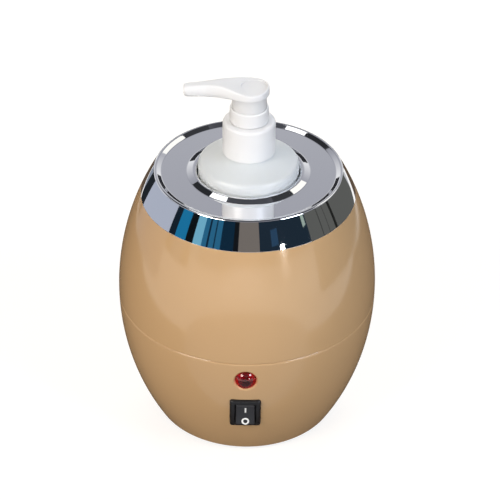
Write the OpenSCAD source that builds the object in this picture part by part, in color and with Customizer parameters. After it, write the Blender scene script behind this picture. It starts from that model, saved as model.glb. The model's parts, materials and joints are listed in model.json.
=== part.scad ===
// Massage oil warmer: a barrel-shaped heated housing round a well, in which a bottle with a
// lotion pump stands. Millimetres, +Z up, origin on the floor below the centre.
// The switch and the lamp face -Y, the nozzle points to -X.

/* [Housing] */
// Greatest diameter of the barrel
body_d = 140; // [125:1:165]
// Height of the housing from its lower edge to the rim
body_h = 150; // [140:1:165]
// Radius of the bulging side, seen in profile
side_r = 150; // [120:1:220]
// Height of the widest point above the lower edge
wide_h = 74.5; // [66:0.5:84]
// Height of the seam between the halves above the lower edge
seam_h = 73; // [66:0.5:84]
// Depth of the fine groove that marks the seam
seam_groove = 0.5; // [0.2:0.1:0.8]
// Wall of the moulded halves
wall = 2.5; // [2:0.1:3.5]
// Height of the tongue that locates one half in the other
lap_h = 4; // [2:0.5:6]
// Clearance between moulded pieces that fit together
fit_gap = 0.2; // [0.1:0.05:0.4]

/* [Base] */
// Height of the rubber feet below the housing
foot_h = 2; // [1:0.5:5]
// Diameter of a rubber foot
foot_d = 13; // [8:0.5:18]
// Thickness of the base plate
plate_t = 3; // [2.5:0.1:5]
// Depth of the base plate inside the lower edge
plate_inset = 0.5; // [0.2:0.1:2]
// Thickness of the ledge that the base plate is screwed to
ledge_t = 2.5; // [2:0.1:4]
// Width of the ledge
ledge_w = 8; // [7:0.5:12]
// Width of a vent slot in the base plate
vent_w = 2.5; // [1.5:0.1:3.5]
// Length of a vent slot
vent_l = 24; // [10:1:34]
// Number of vent slots
vent_n = 5; // [3:1:7]

/* [Screws] */
// Shank diameter of the housing screws
screw_d = 3; // [2:0.1:4]
// Head diameter of the housing screws
head_d = 5.6; // [4.5:0.1:7]
// Head height of the housing screws
head_h = 1.6; // [1:0.1:2.2]
// Wall of a screw boss round its screw
boss_wall = 2; // [1.5:0.1:3]
// Depth of a screw in its boss
screw_in = 8; // [6:0.5:12]

/* [Top ring] */
// Height of the plated skirt below the rim
ring_h = 15; // [12:0.5:20]
// Wall of the plated ring
ring_wall = 2; // [1.6:0.1:3]
// Height of the rim above the flat
rim_h = 2; // [1.5:0.1:4]
// Radius of the rounded rim
rim_r = 1.4; // [0.8:0.1:1.8]
// Width of the slope from the rim down to the flat
rim_w = 2.1; // [1.6:0.1:4]
// Height of the lip round the opening above the flat
lip_h = 1.4; // [0.8:0.1:3]
// Width of the lip
lip_w = 4; // [2.5:0.1:6]
// Height of the spigot that locates the ring on the housing
spigot_h = 5; // [3:0.5:7]
// Thickness of the deck of the upper housing
deck_t = 2.5; // [2:0.1:4]

/* [Heating cup] */
// Clearance between the bottle and the cup
cup_gap = 1.3; // [0.8:0.1:3]
// Wall of the drawn cup
cup_wall = 1; // [0.6:0.1:2]
// Height of the cup's floor above the housing's lower edge
cup_floor_h = 26.5; // [24:0.5:34]
// Inner radius of the cup's lower corner
cup_corner = 4; // [2:0.5:6]
// Width of the cup's flange
flange_w = 6; // [4:0.5:9]
// Thickness of the cup gasket
gasket_t = 1.5; // [1:0.1:3]
// Step of the ring's opening outside the cup
opening_step = 0.8; // [0.3:0.1:2]

/* [Heater] */
// Height of the heater band
heater_h = 60; // [40:1:68]
// Thickness of the heater band
heater_t = 2; // [1.5:0.1:3]
// Height of the heater band above the cup's floor
heater_up = 18; // [10:1:24]
// Gap between the ends of the heater band
heater_slit = 6; // [4:0.5:8]
// Reach of the clamp ears outside the band
ear_w = 9; // [8:0.5:11]
// Diameter of the clamp bolts
bolt_d = 4; // [3:0.5:4]
// Diameter of the thermostat
thermostat_d = 16; // [14:0.5:18]
// Length of the thermal fuse's sleeve
fuse_l = 15; // [10:1:17]
// Diameter of the thermal fuse's sleeve
fuse_d = 4.4; // [3:0.2:6]

/* [Bottle] */
// Diameter of the bottle
bottle_d = 53.4; // [45:0.2:58]
// Height of the bottle's straight side, up to the shoulder
bottle_h = 128; // [110:1:140]
// Wall of the bottle
bottle_wall = 1.2; // [0.8:0.1:2]
// Rise of the shoulder up to the neck
shoulder_h = 7; // [5:0.5:12]
// Radius of the rounded shoulder edge
shoulder_r = 3; // [2:0.1:5]
// Diameter of the neck
neck_d = 23.8; // [22:0.1:25]
// Bore of the neck
neck_bore = 18; // [16.5:0.1:19]
// Height of the neck above the shoulder
neck_h = 13.7; // [12:0.1:18]

/* [Pump] */
// Diameter of the screw collar
collar_d = 27.8; // [27:0.1:32]
// Height of the screw collar's skirt below the neck's top
collar_skirt = 14.2; // [10:0.1:15]
// Wall at the top of the screw collar
collar_top = 1.6; // [1:0.1:2.5]
// Diameter of the chaplet
chaplet_d = 20.4; // [20:0.1:24]
// Height of the chaplet above the collar
chaplet_h = 8.2; // [7:0.1:12]
// Wall of the chaplet
chaplet_wall = 0.9; // [0.7:0.1:1.1]
// Height of the head's neck above the chaplet
head_neck_h = 7.8; // [4:0.1:10]
// Thickness of the head below the finger rest
head_t = 3.6; // [3.2:0.1:6]
// Diameter of the head's round end
head_d1 = 20.6; // [20:0.1:26]
// Reach of the nozzle from the bottle's axis
nozzle_reach = 34; // [26:0.5:45]
// Diameter of the nozzle
nozzle_w = 6.6; // [5.6:0.1:8]
// Width of the ridge at the nozzle's tip
ridge_w = 4.4; // [3.4:0.1:5]
// Bore of the nozzle
nozzle_bore = 3; // [2:0.1:3.4]
// Length of the pump's stroke
stroke = 14; // [8:0.5:16]
// Bore of the pump cylinder
cylinder_bore = 12.6; // [12:0.1:13]
// Wall of the pump cylinder
cylinder_wall = 1.2; // [0.9:0.1:1.4]
// Diameter of the stem
stem_d = 6.8; // [6:0.1:7.4]
// Diameter of the dip tube
tube_d = 6; // [5:0.1:7]
// Height of the dip tube's end above the bottle's floor
tube_lift = 4; // [2:0.5:10]
// Wire of the return spring
spring_wire = 1; // [0.7:0.1:1.2]
// Turns of the return spring
spring_turns = 7; // [5:1:8]

/* [Switch] */
// Height of the switch below the lamp
switch_drop = 24.7; // [24:0.1:30]
// Width of the switch frame
frame_w = 16.6; // [16:0.1:19]
// Height of the switch frame
frame_l = 21.6; // [20:0.1:26]
// Thickness of the switch frame
frame_t = 2; // [1.5:0.1:3]
// Width of the rocker
rocker_w = 10.2; // [8:0.1:11]
// Radius of the rocker's rounded ends about its pivot
rocker_r = 7.7; // [6.5:0.1:8.2]
// Angle that the rocker travels
throw_angle = 24; // [16:1:28]
// Depth of the switch body behind the panel
switch_depth = 12; // [10:0.5:15]

/* [Lamp] */
// Distance of the lamp below the seam
lamp_drop = 11.8; // [9.5:0.1:14]
// Diameter of the lens
lens_d = 11.6; // [8:0.1:12.5]
// Height of the lens dome
dome_h = 3.3; // [2:0.1:4]
// Width of the countersink round the lens
lamp_sink = 1.3; // [0.6:0.1:1.5]

/* [Inlet] */
// Height of the mains inlet above the lower edge
inlet_h = 22; // [20:0.5:30]
// Width of the inlet's flange
inlet_w = 26; // [24:0.5:30]
// Height of the inlet's flange
inlet_l = 15; // [13:0.5:18]
// Thickness of the inlet's flange
inlet_t = 2; // [1.5:0.1:3]
// Spacing of the inlet's pins
pin_spacing = 8.6; // [8:0.1:9]
// Diameter of an inlet pin
pin_d = 2.4; // [2:0.1:2.6]

/* [Hidden] */
$fn = 128;

// Overshoot of a cut past the face that it opens
cut = 1;
// Clearance of a screw in its boss and of a piece slipped on another
slip = 0.05;
// Clearance of a running or a rolling piece
run_gap = 0.3;
// Clearance of a shank in a plate that it passes through
pass_gap = 0.3;
// Room below the point of a screw in its boss
tip_room = 1;
// Overlap of two forms that are one piece
join = 0.5;

// Levels of the housing
base_z = foot_h;
wide_z = base_z + wide_h;
seam_z = base_z + seam_h;
crest_z = base_z + body_h;
ring_z = crest_z - ring_h;
flat_z = crest_z - rim_h;
lip_z = flat_z + lip_h;

// The side is one arc, so radius and slope follow from the height
arc_x = body_d / 2 - side_r;
function body_r(z) = arc_x + sqrt(side_r * side_r - (z - wide_z) * (z - wide_z));
function body_tilt(z) = asin((wide_z - z) / side_r);
// Depth at which a flat face of this size clears the bulge
function seat_drop(w, l, z) =
    body_r(z) - sqrt(body_r(z) * body_r(z) - w * w / 4) + side_r - sqrt(side_r * side_r - l * l / 4);

// Base
boss_d = screw_d + 2 * boss_wall;
plate_z = base_z + plate_inset;
ledge_z = plate_z + plate_t;
rebate_r = body_r(base_z) - wall;
ledge_in_r = rebate_r - ledge_w;
base_screw_r = ledge_in_r + boss_d / 2;
base_screw_n = 4;
foot_plug_d = 5;
foot_barb_d = 6;
foot_barb_h = 1.5;
foot_edge = 0.6;
foot_n = 4;
foot_r = ledge_in_r - foot_barb_d / 2 - pass_gap - run_gap;
vent_ratio = 2.4;
vent_pitch = vent_ratio * vent_w;

// Seam lugs
lug_h = 9;
lug_n = 4;
lug_gap = 0.5;
lug_r = body_r(seam_z) - wall - lug_gap - boss_d / 2;
lug_web = boss_d * 0.7;

// Cup and ring
cup_in_r = bottle_d / 2 + cup_gap;
cup_out_r = cup_in_r + cup_wall;
cup_floor_z = base_z + cup_floor_h;
cup_bottom_z = cup_floor_z - cup_wall;
flange_r = cup_out_r + flange_w;
flange_z = ring_z + cup_wall;
gasket_z = flange_z + gasket_t;
gasket_inset = 1;
opening_r = cup_in_r + opening_step;
spigot_t = 1.8;
spigot_in_r = body_r(ring_z + spigot_h) - ring_wall - fit_gap - spigot_t;
ring_screw_r = (flange_r + spigot_in_r) / 2;
ring_screw_n = 3;
rim_c_z = crest_z - rim_r;
rim_c_x = arc_x + sqrt((side_r - rim_r) * (side_r - rim_r) - (rim_c_z - wide_z) * (rim_c_z - wide_z));
rim_slope = asin((rim_c_z - wide_z) / (side_r - rim_r));
lip_edge = lip_h / 2;

// Heater and controls
heater_in_r = cup_out_r + slip;
heater_r = heater_in_r + heater_t;
heater_z = cup_floor_z + heater_up;
ear_t = 1.2;
ear_x = heater_r + ear_w / 2;
bolt_levels = [0.2, 0.8];
nut_ratio = 1.6;
nut_t = 2.4;
bolt_head = 2.4;
bolt_end = 1;
stud_d = 3;
stud_gap = 4;
stud_x = thermostat_d / 2 + stud_gap;
stud_l = 6.4;
cap_t = 3;
strap_t = 0.8;
strap_w = 10;
strap_corner = 4;
cap_lip = 0.5;
thermostat_l = 7;
blade_w = 5;
blade_t = 0.8;
blade_l = 7;
fuse_gap = 2;
fuse_z = heater_z + heater_h + fuse_gap;
fuse_x = cup_out_r + slip + fuse_d / 2;
fuse_turn = 180;
clip_t = 0.6;
clip_h = 6;
clip_arc = 30;

// Lamp
lens_r = lens_d / 2;
lamp_z = seam_z - lamp_drop;
lens_wall = 1.2;
lens_flange_w = 1.5;
lens_flange_t = 1.2;
lens_base = 0.5;
pad_t = 1;
lamp_pad = wall + pad_t;
lamp_back = lamp_pad + lens_flange_t;
holder_t = 2;
holder_l = 12;
holder_wall = 1.2;
bulb_d = 5;
bulb_l = 15;
lamp_screw_x = lens_r + lens_flange_w + pass_gap + boss_d / 2;
lamp_screw_in = lamp_back - wall - seat_drop(2 * lamp_screw_x, 0, lamp_z);
dome_r = (lens_r * lens_r + dome_h * dome_h) / (2 * dome_h);

// Switch
switch_z = lamp_z - switch_drop;
switch_seat = seat_drop(frame_w, frame_l, switch_z);
switch_wall = 1.1;
frame_corner = 1.6;
well_w = rocker_w + 2 * run_gap;
well_l = 2 * (rocker_r + run_gap);
switch_w = well_w + 2 * switch_wall;
switch_l = well_l + 2 * switch_wall;
pivot_z = -0.5;
pivot_d = 2.4;
rocker_top = (frame_t - pivot_z) / cos(throw_angle / 2);
rocker_below = 3;
well_floor = pivot_z - rocker_below - rocker_r * sin(throw_angle / 2) - run_gap;
latch_l = 3;
latch_t = 0.5;

// Inlet: the face stands upright in a recess of the rear wall
inlet_z = base_z + inlet_h;
inlet_y = body_r(inlet_z - inlet_l / 2) - inlet_t - run_gap;
inlet_wall = 1.6;
socket_r = 4.2;
socket_x = 3.9;
shroud_w = 2 * (socket_x + socket_r + inlet_wall);
shroud_l = 2 * (socket_r + inlet_wall);
socket_depth = 12;
socket_back = 4;
socket_waist = 0.78;
inlet_corner = 2;
pin_l = 9.5;
tab_l = 5;

// Bottle
bottle_r = bottle_d / 2;
corner_gap = 1;
bottle_corner = cup_corner + corner_gap;
shoulder_z = cup_floor_z + bottle_h;
neck_z = shoulder_z + shoulder_h;
neck_top = neck_z + neck_h;
push_up = 2;
shoulder_angle = atan(shoulder_h / (bottle_r - neck_d / 2));

// Pump
seal_t = 1.2;
seal_z = neck_top + seal_t;
pump_flange_t = 1.5;
pump_flange_z = seal_z + pump_flange_t;
pump_flange_r = neck_d / 2 - run_gap;
collar_r = collar_d / 2;
collar_z = neck_top - collar_skirt;
collar_top_z = pump_flange_z + collar_top;
bore_r = cylinder_bore / 2;
cylinder_r = bore_r + cylinder_wall;
chaplet_r = chaplet_d / 2;
chaplet_in_r = chaplet_r - chaplet_wall;
chaplet_z = collar_top_z + run_gap;
chaplet_top = collar_top_z + chaplet_h;
chaplet_web = 1.6;
snap_h = 1.4;
rim_top = chaplet_z + snap_h;
plug_wall = 1;
plug_l = 5;
stem_r = stem_d / 2;
stem_bore = 3.6;
guide_gap = 0.25;
head_neck_r = chaplet_in_r - run_gap;
head_neck_z = rim_top + chaplet_web + run_gap;
plate_low = chaplet_top + head_neck_h;
head_top = plate_low + head_t;
head_r = head_d1 / 2;
nozzle_r = nozzle_w / 2;
nozzle_drop = 1.6;
nozzle_z = plate_low + nozzle_r - nozzle_drop;
nozzle_end = 0.8;
bore_drop = 0.7;
// Arcs of the head's sides: along the nozzle at its tip, a hair inside the tangent at the round end
ridge_r = ridge_w / 2;
flank_r = (nozzle_reach * nozzle_reach + ridge_r * ridge_r - head_r * head_r) / (2 * (head_r - ridge_r));
flank_hair = 0.03;
flank_end = nozzle_reach * head_r / (head_r + flank_r);
// Side view: a hollow for the finger, and a ridge that falls from it to the tip
rest_x = 2.2;
rest_r = 40;
tip_rise = 1.3;
ridge_tilt = 3.3;
blade_rise = 0.5;
blade_run = 4;
dish_r = 7;
dish_x = 2.4;
dish_depth = 0.5;
dish_ball = 60;
socket_wall = 1.4;
socket_l = 7;
stem_top = nozzle_z - nozzle_r - slip;
piston_l = 6;
piston_gap = 0.1;
piston_room = 1;
piston_waist = 1;
piston_z = rim_top - plug_l - stroke - piston_l - piston_room;
spring_l = 18;
spring_z = piston_z - spring_l;
spring_r = bore_r - run_gap - spring_wire / 2;
ball_d = 4;
ball_room = 5.2;
ball_cone = 2;
tube_wall = 1;
tube_grip = 8;
ball_z = spring_z - ball_room;
seat_t = 1.5;
tube_top = ball_z - ball_cone - seat_t;
cylinder_low = tube_top - tube_grip;
tail_wall = 1.2;
tail_r = tube_d / 2 + tail_wall;

// Rounded rectangle, drawn from exact arcs
module rounded_rect(w, l, corner) {
    square([w - 2 * corner, l], center = true);
    square([w, l - 2 * corner], center = true);
    for (x = [-1, 1], y = [-1, 1])
        translate([x * (w / 2 - corner), y * (l / 2 - corner)]) circle(r = corner);
}

// Slot with round ends
module slot_2d(l, w) {
    square([l - w, w], center = true);
    for (x = [-1, 1]) translate([x * (l - w) / 2, 0]) circle(d = w);
}

// Slice of the barrel's half section, set in from the outer face
module barrel_2d(inset, z0, z1) {
    intersection() {
        translate([arc_x, wide_z]) circle(r = side_r - inset);
        translate([0, z0]) square([body_d, z1 - z0]);
    }
}

// Half section of a pot with a rounded lower corner
module pot_2d(r, z0, z1, corner) {
    translate([0, z0 + corner]) square([r, z1 - z0 - corner]);
    translate([0, z0]) square([r - corner, z1 - z0]);
    translate([r - corner, z0 + corner]) circle(r = corner);
}

// Ring or tube between two heights
module tube(r_out, r_in, z0, z1) {
    rotate_extrude() translate([r_in, z0]) square([r_out - r_in, z1 - z0]);
}

// Copies round the axis
module around(n, r, start = 0) {
    for (i = [0 : n - 1]) rotate(start + i * 360 / n) translate([r, 0, 0]) children();
}

// Places children on the side wall: their z points out, their y up along the wall
module on_side(z) {
    translate([0, -body_r(z), z]) rotate([90 + body_tilt(z), 0, 0]) children();
}

// Screw with a pan head that looks down, its shank rising from z = 0
module screw(d, l) {
    translate([0, 0, -head_h]) cylinder(d = head_d, h = head_h);
    cylinder(d = d, h = l);
}

// Lug for a seam screw, joined to the wall outside it
module seam_lug(z0, z1, web_z0, web_z1) {
    around(lug_n, lug_r, 45) {
        translate([0, 0, z0]) cylinder(d = boss_d, h = z1 - z0);
        translate([0, -lug_web / 2, web_z0])
            cube([boss_d / 2 + lug_gap + wall / 2, lug_web, web_z1 - web_z0]);
    }
}

module lower_housing() {
    color("#c9ab80") difference() {
        union() {
            rotate_extrude() difference() {
                union() {
                    barrel_2d(0, base_z, seam_z);
                    barrel_2d(wall / 2 + fit_gap, seam_z - wall, seam_z + lap_h);
                }
                barrel_2d(wall, ledge_z + ledge_t, seam_z + lap_h + cut);
                translate([0, base_z - cut]) square([rebate_r, ledge_z - base_z + cut]);
                translate([0, base_z]) square([ledge_in_r, ledge_z + ledge_t]);
            }
            around(base_screw_n, base_screw_r, 45)
                translate([0, 0, ledge_z]) cylinder(d = boss_d, h = screw_in + boss_wall);
            seam_lug(seam_z - lug_h, seam_z, seam_z - lug_h, seam_z);
            lamp_bosses();
            inlet_recess_block();
        }
        around(base_screw_n, base_screw_r, 45)
            translate([0, 0, ledge_z - cut]) cylinder(d = screw_d + 2 * slip, h = screw_in + cut);
        around(lug_n, lug_r, 45) translate([0, 0, seam_z - lug_h - cut])
            cylinder(d = screw_d + 2 * pass_gap, h = lug_h + 2 * cut);
        seam_cut();
        lamp_holes();
        switch_hole();
        inlet_hole();
    }
}

// Fine groove along the seam
module seam_cut() {
    rotate_extrude() translate([body_r(seam_z), seam_z]) rotate(45)
        square(seam_groove * sqrt(2), center = true);
}

// Seat of the lens and bosses of the lamp holder on the inside of the wall
module lamp_bosses() {
    on_side(lamp_z) {
        translate([0, 0, -lamp_pad]) cylinder(r = lens_r + lens_flange_w, h = lamp_pad - wall / 2);
        for (x = [-1, 1]) translate([x * lamp_screw_x, 0, -lamp_back])
            cylinder(d = boss_d, h = lamp_screw_in + wall / 2);
    }
}

module lamp_holes() {
    on_side(lamp_z) {
        translate([0, 0, -lamp_pad - cut]) cylinder(r = lens_r + fit_gap, h = lamp_pad + 2 * cut);
        translate([0, 0, -lamp_sink])
            cylinder(r1 = lens_r + fit_gap, r2 = lens_r + fit_gap + 2 * lamp_sink, h = 2 * lamp_sink);
        for (x = [-1, 1]) translate([x * lamp_screw_x, 0, -lamp_back - cut])
            cylinder(d = screw_d + 2 * slip, h = cut + lamp_screw_in);
    }
}

// Flat seat and opening for the switch
module switch_hole() {
    on_side(switch_z) translate([0, 0, -switch_seat]) {
        linear_extrude(wall + cut) rounded_rect(frame_w + 2 * fit_gap, frame_l + 2 * fit_gap, frame_corner);
        translate([0, 0, -wall - cut]) linear_extrude(wall + 2 * cut)
            square([switch_w + 2 * fit_gap, switch_l + 2 * fit_gap], center = true);
    }
}

// Upright box let into the rear wall
module inlet_box(w, l, y0, y1) {
    translate([-w / 2, y0, inlet_z - l / 2]) cube([w, y1 - y0, l]);
}

module inlet_recess_block() {
    intersection() {
        rotate_extrude() barrel_2d(wall / 2, base_z, seam_z);
        inlet_box(
            inlet_w + 2 * fit_gap + 2 * wall, inlet_l + 2 * fit_gap + 2 * wall,
            inlet_y - wall, body_d / 2
        );
    }
}

module inlet_hole() {
    inlet_box(inlet_w + 2 * fit_gap, inlet_l + 2 * fit_gap, inlet_y, body_d / 2);
    inlet_box(
        shroud_w + 2 * fit_gap, shroud_l + 2 * fit_gap,
        inlet_y - wall - cut, inlet_y + cut
    );
}

module upper_housing() {
    color("#d3b78f") difference() {
        union() {
            rotate_extrude() difference() {
                union() {
                    barrel_2d(0, seam_z, ring_z);
                    barrel_2d(ring_wall + fit_gap, ring_z - deck_t, ring_z + spigot_h);
                }
                barrel_2d(wall / 2, seam_z - cut, seam_z + lap_h + fit_gap);
                barrel_2d(wall, seam_z, ring_z - deck_t);
                barrel_2d(ring_wall + fit_gap + spigot_t, ring_z, ring_z + spigot_h + cut);
                translate([0, seam_z]) square([cup_out_r + pass_gap, body_h]);
            }
            seam_lug(
                seam_z, seam_z + screw_in + boss_wall,
                seam_z + lap_h + 2 * fit_gap, seam_z + screw_in + boss_wall
            );
        }
        around(lug_n, lug_r, 45)
            translate([0, 0, seam_z - cut]) cylinder(d = screw_d + 2 * slip, h = screw_in + cut);
        around(ring_screw_n, ring_screw_r, 30) translate([0, 0, ring_z - deck_t - cut])
            cylinder(d = screw_d + 2 * pass_gap, h = deck_t + 2 * cut);
        seam_cut();
    }
}

module top_ring() {
    color("#c4c6ca") difference() {
        union() {
            rotate_extrude() top_ring_2d();
            around(ring_screw_n, ring_screw_r, 30)
                translate([0, 0, ring_z]) cylinder(d = boss_d, h = flat_z - ring_z - ring_wall / 2);
        }
        around(ring_screw_n, ring_screw_r, 30)
            translate([0, 0, ring_z - cut]) cylinder(d = screw_d + 2 * slip, h = screw_in + cut);
    }
}

// Skirt, rounded rim, slope, flat, lip and the tube that presses on the gasket
module top_ring_2d() {
    intersection() {
        difference() {
            barrel_2d(0, ring_z, crest_z);
            barrel_2d(ring_wall, ring_z - cut, crest_z + cut);
        }
        translate([rim_c_x, rim_c_z]) rotate(rim_slope) translate([-body_d, -body_d])
            square([2 * body_d, body_d]);
    }
    translate([rim_c_x, rim_c_z]) circle(r = rim_r);
    polygon([
        [rim_c_x, rim_c_z],
        [rim_c_x - rim_r * sin(45), rim_c_z + rim_r * sin(45)],
        [rim_c_x - rim_w, flat_z],
        [rim_c_x - rim_w, flat_z - ring_wall],
        [body_r(flat_z - ring_wall) - ring_wall / 2, flat_z - ring_wall]
    ]);
    translate([opening_r, flat_z - ring_wall]) square([rim_c_x - rim_w - opening_r, ring_wall]);
    translate([opening_r, gasket_z]) square([ring_wall, flat_z - gasket_z]);
    translate([opening_r + lip_edge, lip_z - lip_edge]) circle(r = lip_edge);
    polygon([
        [opening_r, flat_z - ring_wall],
        [opening_r, lip_z - lip_edge],
        [opening_r + lip_edge, lip_z],
        [opening_r + lip_w, flat_z],
        [opening_r + lip_w, flat_z - ring_wall]
    ]);
}

module base_plate() {
    color("#b59a72") difference() {
        translate([0, 0, plate_z]) cylinder(r = rebate_r - fit_gap, h = plate_t);
        around(base_screw_n, base_screw_r, 45) {
            translate([0, 0, plate_z - cut]) cylinder(d = screw_d + 2 * pass_gap, h = plate_t + 2 * cut);
            translate([0, 0, plate_z - cut]) cylinder(d = head_d + 2 * pass_gap, h = head_h + cut);
        }
        around(foot_n, foot_r)
            translate([0, 0, plate_z - cut]) cylinder(d = foot_plug_d + 2 * slip, h = plate_t + 2 * cut);
        for (i = [0 : vent_n - 1]) translate([0, (i - (vent_n - 1) / 2) * vent_pitch, plate_z - cut])
            linear_extrude(plate_t + 2 * cut) slot_2d(vent_l, vent_w);
    }
}

// Push-in feet: pad below the plate, plug through it, barb above
module rubber_feet() {
    color("#2b2b2b") around(foot_n, foot_r) rotate_extrude() {
        pot_2d(foot_d / 2, 0, plate_z, foot_edge);
        square([foot_plug_d / 2, ledge_z + foot_barb_h]);
        translate([0, ledge_z]) square([foot_barb_d / 2, foot_barb_h]);
    }
}

module base_screws() {
    color("#8d9095") around(base_screw_n, base_screw_r, 45)
        translate([0, 0, plate_z + head_h]) screw(screw_d, plate_t - head_h + screw_in - tip_room);
}

module seam_screws() {
    color("#8d9095") around(lug_n, lug_r, 45)
        translate([0, 0, seam_z - lug_h]) screw(screw_d, lug_h + screw_in - tip_room);
}

module ring_screws() {
    color("#8d9095") around(ring_screw_n, ring_screw_r, 30)
        translate([0, 0, ring_z - deck_t]) screw(screw_d, deck_t + screw_in - tip_room);
}

// Drawn cup with a flange that lies on the deck, and two weld studs below
module heating_cup() {
    color("#b9bcc0") {
        rotate_extrude() {
            difference() {
                pot_2d(cup_out_r, cup_bottom_z, flange_z, cup_corner + cup_wall);
                pot_2d(cup_in_r, cup_floor_z, flange_z + cut, cup_corner);
            }
            translate([cup_in_r, ring_z]) square([flange_r - cup_in_r, cup_wall]);
        }
        for (x = [-1, 1]) translate([x * stud_x, 0, cup_bottom_z - stud_l])
            cylinder(d = stud_d, h = stud_l + cup_wall / 2);
    }
}

module cup_gasket() {
    color("#7c4b3c") tube(flange_r - gasket_inset, opening_r, flange_z, gasket_z);
}

// Steel-sheathed heater strip, drawn round the cup by two ears
module heater_band() {
    color("#a3a19b") difference() {
        union() {
            tube(heater_r, heater_in_r, heater_z, heater_z + heater_h);
            for (y = [-1, 1])
                translate([heater_in_r + heater_t / 2, y * (heater_slit + ear_t) / 2 - ear_t / 2, heater_z])
                    cube([heater_t / 2 + ear_w, ear_t, heater_h]);
        }
        translate([0, -heater_slit / 2, heater_z - cut]) cube([body_d, heater_slit, heater_h + 2 * cut]);
        for (level = bolt_levels) translate([ear_x, 0, heater_z + level * heater_h]) rotate([90, 0, 0])
            cylinder(d = bolt_d + 2 * slip, h = 2 * heater_slit + 4 * ear_t, center = true);
    }
}

module clamp_bolts() {
    color("#8d9095") for (level = bolt_levels)
        translate([ear_x, -heater_slit / 2 - ear_t, heater_z + level * heater_h]) rotate([-90, 0, 0]) {
            translate([0, 0, -bolt_head]) cylinder(d = bolt_d * nut_ratio, h = bolt_head);
            cylinder(d = bolt_d, h = heater_slit + 2 * ear_t + nut_t + bolt_end);
        }
}

// Hexagon nut standing on z = 0
module nut(d) {
    difference() {
        cylinder(d = d * nut_ratio / cos(30), h = nut_t, $fn = 6);
        translate([0, 0, -cut]) cylinder(d = d + 2 * slip, h = nut_t + 2 * cut);
    }
}

module clamp_nuts() {
    color("#8d9095") for (level = bolt_levels)
        translate([ear_x, heater_slit / 2 + ear_t, heater_z + level * heater_h]) rotate([-90, 0, 0])
            nut(bolt_d);
}

// Sensing cap against the cup's underside, with the strap that the studs hold
module thermostat_cap() {
    color("#b9bcc0") difference() {
        union() {
            translate([0, 0, cup_bottom_z - cap_t]) cylinder(d = thermostat_d, h = cap_t);
            translate([0, 0, cup_bottom_z - cap_t - strap_t]) linear_extrude(strap_t)
                rounded_rect(2 * stud_x + strap_w, strap_w, strap_corner);
        }
        for (x = [-1, 1]) translate([x * stud_x, 0, cup_bottom_z - cap_t - strap_t - cut])
            cylinder(d = stud_d + 2 * slip, h = cap_t);
    }
}

module thermostat_body() {
    color("#4a3b32") translate([0, 0, cup_bottom_z - cap_t - strap_t - thermostat_l])
        cylinder(d = thermostat_d - 2 * cap_lip, h = thermostat_l);
}

module thermostat_blades() {
    color("#c9a24a") for (x = [-1, 1])
        translate([x * thermostat_d / 4, 0, cup_bottom_z - cap_t - strap_t - thermostat_l - blade_l])
            translate([-blade_t / 2, -blade_w / 2, 0]) cube([blade_t, blade_w, blade_l]);
}

module thermostat_nuts() {
    color("#8d9095") for (x = [-1, 1])
        translate([x * stud_x, 0, cup_bottom_z - cap_t - strap_t - nut_t]) nut(stud_d);
}

module thermal_fuse() {
    color("#d9d2bd") rotate(fuse_turn) translate([fuse_x, 0, fuse_z]) cylinder(d = fuse_d, h = fuse_l);
}

// Saddle over the fuse, with wings that lie on the cup
module fuse_clip() {
    color("#a3a19b") rotate(fuse_turn) translate([0, 0, fuse_z + fuse_l / 2 - clip_h / 2]) difference() {
        union() {
            rotate(-clip_arc / 2) rotate_extrude(angle = clip_arc)
                translate([cup_out_r + slip, 0]) square([clip_t, clip_h]);
            intersection() {
                translate([fuse_x, 0, 0]) cylinder(d = fuse_d + 2 * slip + 2 * clip_t, h = clip_h);
                translate([cup_out_r + slip + clip_t / 2, -fuse_d, 0])
                    cube([2 * fuse_d, 2 * fuse_d, clip_h]);
            }
        }
        translate([fuse_x, 0, -cut]) cylinder(d = fuse_d + 2 * slip, h = clip_h + 2 * cut);
    }
}

// Frame with a funnel face, hollow body with pivot bores, and snap latches
module switch_frame() {
    color("#1d1d1f") on_side(switch_z) translate([0, 0, -switch_seat]) difference() {
        union() {
            linear_extrude(frame_t) rounded_rect(frame_w, frame_l, frame_corner);
            translate([0, 0, -switch_depth]) linear_extrude(switch_depth + frame_t / 2)
                square([switch_w, switch_l], center = true);
            for (y = [-1, 1]) translate([0, y * switch_l / 2, -wall - fit_gap - latch_l / 2])
                cube([rocker_w / 2, 2 * latch_t, latch_l], center = true);
        }
        translate([0, 0, well_floor]) linear_extrude(frame_t - well_floor + cut)
            square([well_w, well_l], center = true);
        translate([0, 0, pivot_z]) rotate([0, 90, 0])
            cylinder(d = pivot_d + 2 * slip, h = switch_w + 2 * cut, center = true);
    }
}

// Two flats that meet in a shallow V, ends rounded about the pivot; at rest the I side is in
module switch_rocker() {
    half = throw_angle / 2;
    color("#242427") on_side(switch_z) translate([0, 0, pivot_z - switch_seat]) {
        rotate([90, 0, 90]) linear_extrude(rocker_w, center = true) rotate(-half) intersection() {
            circle(r = rocker_r);
            polygon([
                [-rocker_r, -rocker_below], [rocker_r, -rocker_below],
                [rocker_r, rocker_top + rocker_r * tan(half)], [0, rocker_top],
                [-rocker_r, rocker_top + rocker_r * tan(half)]
            ]);
        }
        rotate([0, 90, 0]) cylinder(d = pivot_d, h = switch_w - fit_gap, center = true);
    }
}

module switch_blades() {
    color("#c9a24a") on_side(switch_z) translate([0, 0, -switch_seat - switch_depth - blade_l])
        for (y = [-1, 1]) translate([0, y * well_l / 4, blade_l / 2])
            cube([blade_w, blade_t, blade_l], center = true);
}

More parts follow.
